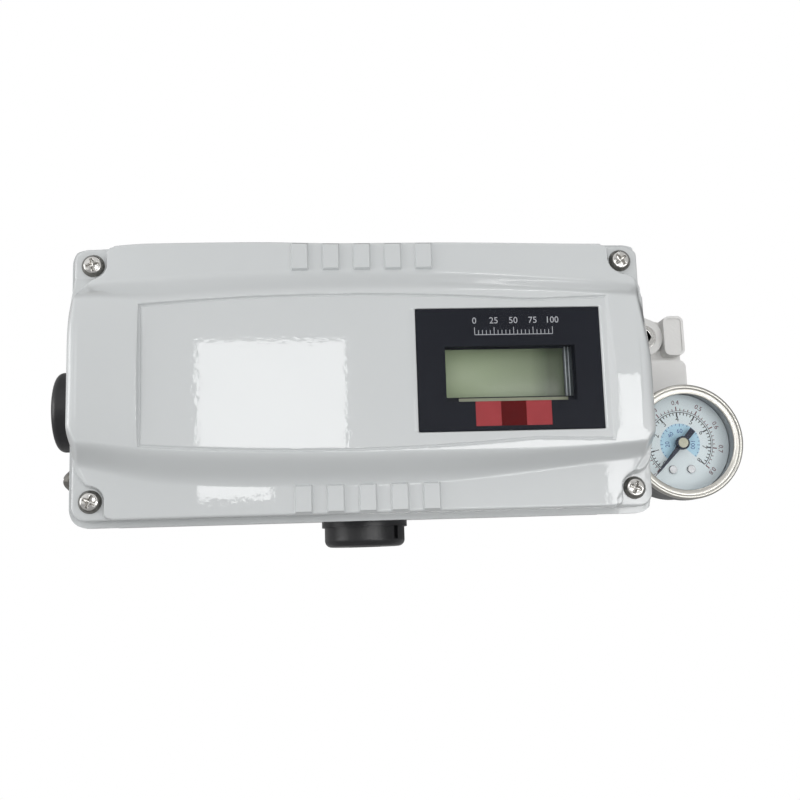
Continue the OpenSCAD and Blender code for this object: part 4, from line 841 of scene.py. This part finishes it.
def makeDialPrint():
    g = gauge
    bm = bmesh.new()
    dialBand(bm, g["arborR"] + 0.7, g["discR"], -0.01)
    makePiece("dialDisc", bm, discBlue, "housing")
    bm = bmesh.new()
    last = g["divisions"] // g["perNumber"]
    dialBand(bm, g["blackR"], g["blackR"] + g["blackBand"])
    for i in range(g["divisions"] + 1):
        length, width = g["blackTicks"][int(i % g["perNumber"] > 0)]
        dialTick(bm, i / g["divisions"], g["blackR"] - length, g["blackR"] + 0.05, width)
    for i in range(last + 1):
        dialNumber(bm, str(i), i / last, g["blackNumberR"], g["blackSize"])
    dialBand(bm, g["redR"], g["redR"] + g["redBand"])
    for i in range(g["divisions"] + 1):
        length, width = g["redTicks"][int(i % g["perNumber"] > 0)]
        dialTick(bm, i / g["divisions"], g["redR"], g["redR"] + length, width, 1)
    for i in range(last + 1):
        dialNumber(bm, "0." + str(i) if i else "0", i / last, g["redNumberR"], g["redSize"], 1)
    for value in range(0, g["blueEnd"], g["blueStep"]):
        length = g["blueTicks"][int(value % g["bluePerNumber"] > 0)]
        dialTick(bm, value / g["blueEnd"], g["discR"] - length, g["discR"] + 0.02, g["blueTickW"], 2)
    for value in range(g["bluePerNumber"], g["blueEnd"], g["bluePerNumber"]):
        dialNumber(bm, str(value), value / g["blueEnd"], g["blueNumberR"], g["blueSize"], 2)
    makePiece("dialPrint", bm, [printBlack, printRed, printBlue], "housing")


def makePointer():
    g = gauge
    bm = bmesh.new()
    z, hub, cap, arbor = g["pointerZ"], g["hubR"], g["capR"], g["arborR"]
    edge = [(-g["tailL"], -g["tailHalf"]), (-hub, -g["neckHalf"]), (0, -g["neckHalf"]),
            (g["pointerL"], -g["tipHalf"])]
    edge += [(x, -y) for x, y in reversed(edge)]
    face = bm.faces.new([bm.verts.new((x, y, z)) for x, y in edge])
    made = bmesh.ops.extrude_face_region(bm, geom=[face])["geom"]
    raised = [v for v in made if isinstance(v, bmesh.types.BMVert)]
    bmesh.ops.translate(bm, vec=(0, 0, g["pointerT"]), verts=raised)
    bmesh.ops.recalc_face_normals(bm, faces=bm.faces[:])
    roundEdges(bm, g["pointerR"], 2, 50)
    top = z + g["hubH"]
    spun(bm, [(0, g["arborZ"]), (arbor, g["arborZ"]), (arbor, z - 0.1), (hub, z - 0.1), (hub, top - 0.2),
              (hub - 0.2, top), (cap, top), (cap, top - 0.15), (0, top - 0.15)], 40)
    spun(bm, [(0, top - 0.2), (cap - 0.05, top - 0.2), (cap - 0.08, top + 0.05), (cap * 0.7, top + 0.2),
              (cap * 0.35, top + 0.24), (cap * 0.3, top + 0.15), (0, top + 0.12)], 40, tint=1)
    place = Matrix.Translation((*g["axis"], 0)) @ Matrix.Rotation(math.radians(g["zero"]), 4, "Z")
    bmesh.ops.transform(bm, matrix=place, verts=bm.verts[:])
    makePiece("gaugeNeedle", bm, [pointerBlue, hubCream], "pointer", ["gauge_pointer"])


makeBezel()
makeDialPrint()
makePointer()

# studio: a pale floor, an even surround that is brighter to the front and left, and soft window lights
studio = {"floorZ": -0.16, "even": 0.62, "fromLeft": 0.33, "fromFront": 0.40, "fromAbove": -0.18,
          "level": 1.07, "dimFront": 0.6, "dimEdge": (0.86, 0.98)}


def makeWorld():
    s = studio
    world = bpy.data.worlds.new("studio")
    scene.world = world
    world.use_nodes = True
    nodes, links = world.node_tree.nodes, world.node_tree.links
    backdrop = nodes["Background"]

    def joined(kind, a, b):
        node = nodes.new("ShaderNodeMath")
        node.operation = kind
        for socket, value in zip(node.inputs, (a, b)):
            if isinstance(value, float):
                socket.default_value = value
            else:
                links.new(value, socket)
        return node.outputs["Value"]

    coords = nodes.new("ShaderNodeTexCoord")
    split = nodes.new("ShaderNodeSeparateXYZ")
    links.new(coords.outputs["Generated"], split.inputs["Vector"])
    light = joined("ADD", joined("MULTIPLY", split.outputs["X"], -s["fromLeft"]), s["even"])
    light = joined("ADD", light, joined("MULTIPLY", split.outputs["Y"], -s["fromFront"]))
    light = joined("ADD", light, joined("MULTIPLY", split.outputs["Z"], s["fromAbove"]))
    dim = nodes.new("ShaderNodeMapRange")
    dim.interpolation_type = "SMOOTHSTEP"
    dim.inputs["From Min"].default_value, dim.inputs["From Max"].default_value = s["dimEdge"]
    dim.inputs["To Min"].default_value, dim.inputs["To Max"].default_value = 1.0, 1 - s["dimFront"]
    links.new(joined("MULTIPLY", split.outputs["Y"], -1.0), dim.inputs["Value"])
    light = joined("MULTIPLY", joined("MULTIPLY", light, s["level"]), dim.outputs["Result"])
    path = nodes.new("ShaderNodeLightPath")
    seen = path.outputs["Is Camera Ray"]
    backdrop.inputs["Color"].default_value = (1, 1, 1, 1)
    links.new(joined("MAXIMUM", light, seen), backdrop.inputs["Strength"])


def areaLight(name, place, aim, width, height, power):
    data = bpy.data.lights.new(name, "AREA")
    data.shape = "RECTANGLE"
    data.size, data.size_y, data.energy = width, height, power
    light = bpy.data.objects.new(name, data)
    light.location = place
    light.rotation_euler = (Vector(aim) - Vector(place)).to_track_quat("-Z", "Y").to_euler()
    scene.collection.objects.link(light)


def makeFloor():
    bm = bmesh.new()
    bmesh.ops.create_grid(bm, x_segments=2, y_segments=2, size=6)
    bmesh.ops.translate(bm, vec=(0, 0, studio["floorZ"]), verts=bm.verts[:])
    mesh = bpy.data.meshes.new("floor")
    bm.to_mesh(mesh)
    bm.free()
    pale = finishOf("floorPale", (0.7, 0.7, 0.7), 0.8, vary=0.01, patch=3, grain=60, specular=0.0)
    nodes, links = pale.node_tree.nodes, pale.node_tree.links
    path = nodes.new("ShaderNodeLightPath")
    glow = nodes.new("ShaderNodeEmission")
    mix = nodes.new("ShaderNodeMixShader")
    links.new(path.outputs["Is Camera Ray"], mix.inputs["Fac"])
    links.new(nodes["Principled BSDF"].outputs["BSDF"], mix.inputs[1])
    links.new(glow.outputs["Emission"], mix.inputs[2])
    links.new(mix.outputs["Shader"], nodes["Material Output"].inputs["Surface"])
    mesh.materials.append(pale)
    floor = bpy.data.objects.new("floor", mesh)
    scene.collection.objects.link(floor)


makeWorld()
makeFloor()
# place, aim, width and height in metres, power in watts
areaLight("windowLight", (-0.103, -1.575, 0.230), (-0.036, -0.075, -0.008), 0.265, 0.215, 1.13)
areaLight("sideLight", (0.545, -1.576, 0.111), (0.091, -0.076, -0.012), 0.05, 0.26, 0.26)
areaLight("lowLight", (-0.193, -1.575, 0.073), (-0.046, -0.075, -0.04), 0.177, 0.030, 0.12)
areaLight("leftLight", (-0.9, -0.35, 0.05), (0, -0.06, 0), 0.5, 0.5, 2.4)
areaLight("frontLight", (0.45, -1.1, -0.085), (0.06, -0.06, -0.02), 0.9, 0.13, 2.2)
areaLight("underLight", (0.22, -0.32, -0.15), (0.07, -0.07, -0.03), 0.25, 0.05, 0.15)
areaLight("overLight", (0.22, -0.30, 0.70), (0.06, -0.07, 0.03), 0.22, 0.05, 0.26)
print("studio ready")
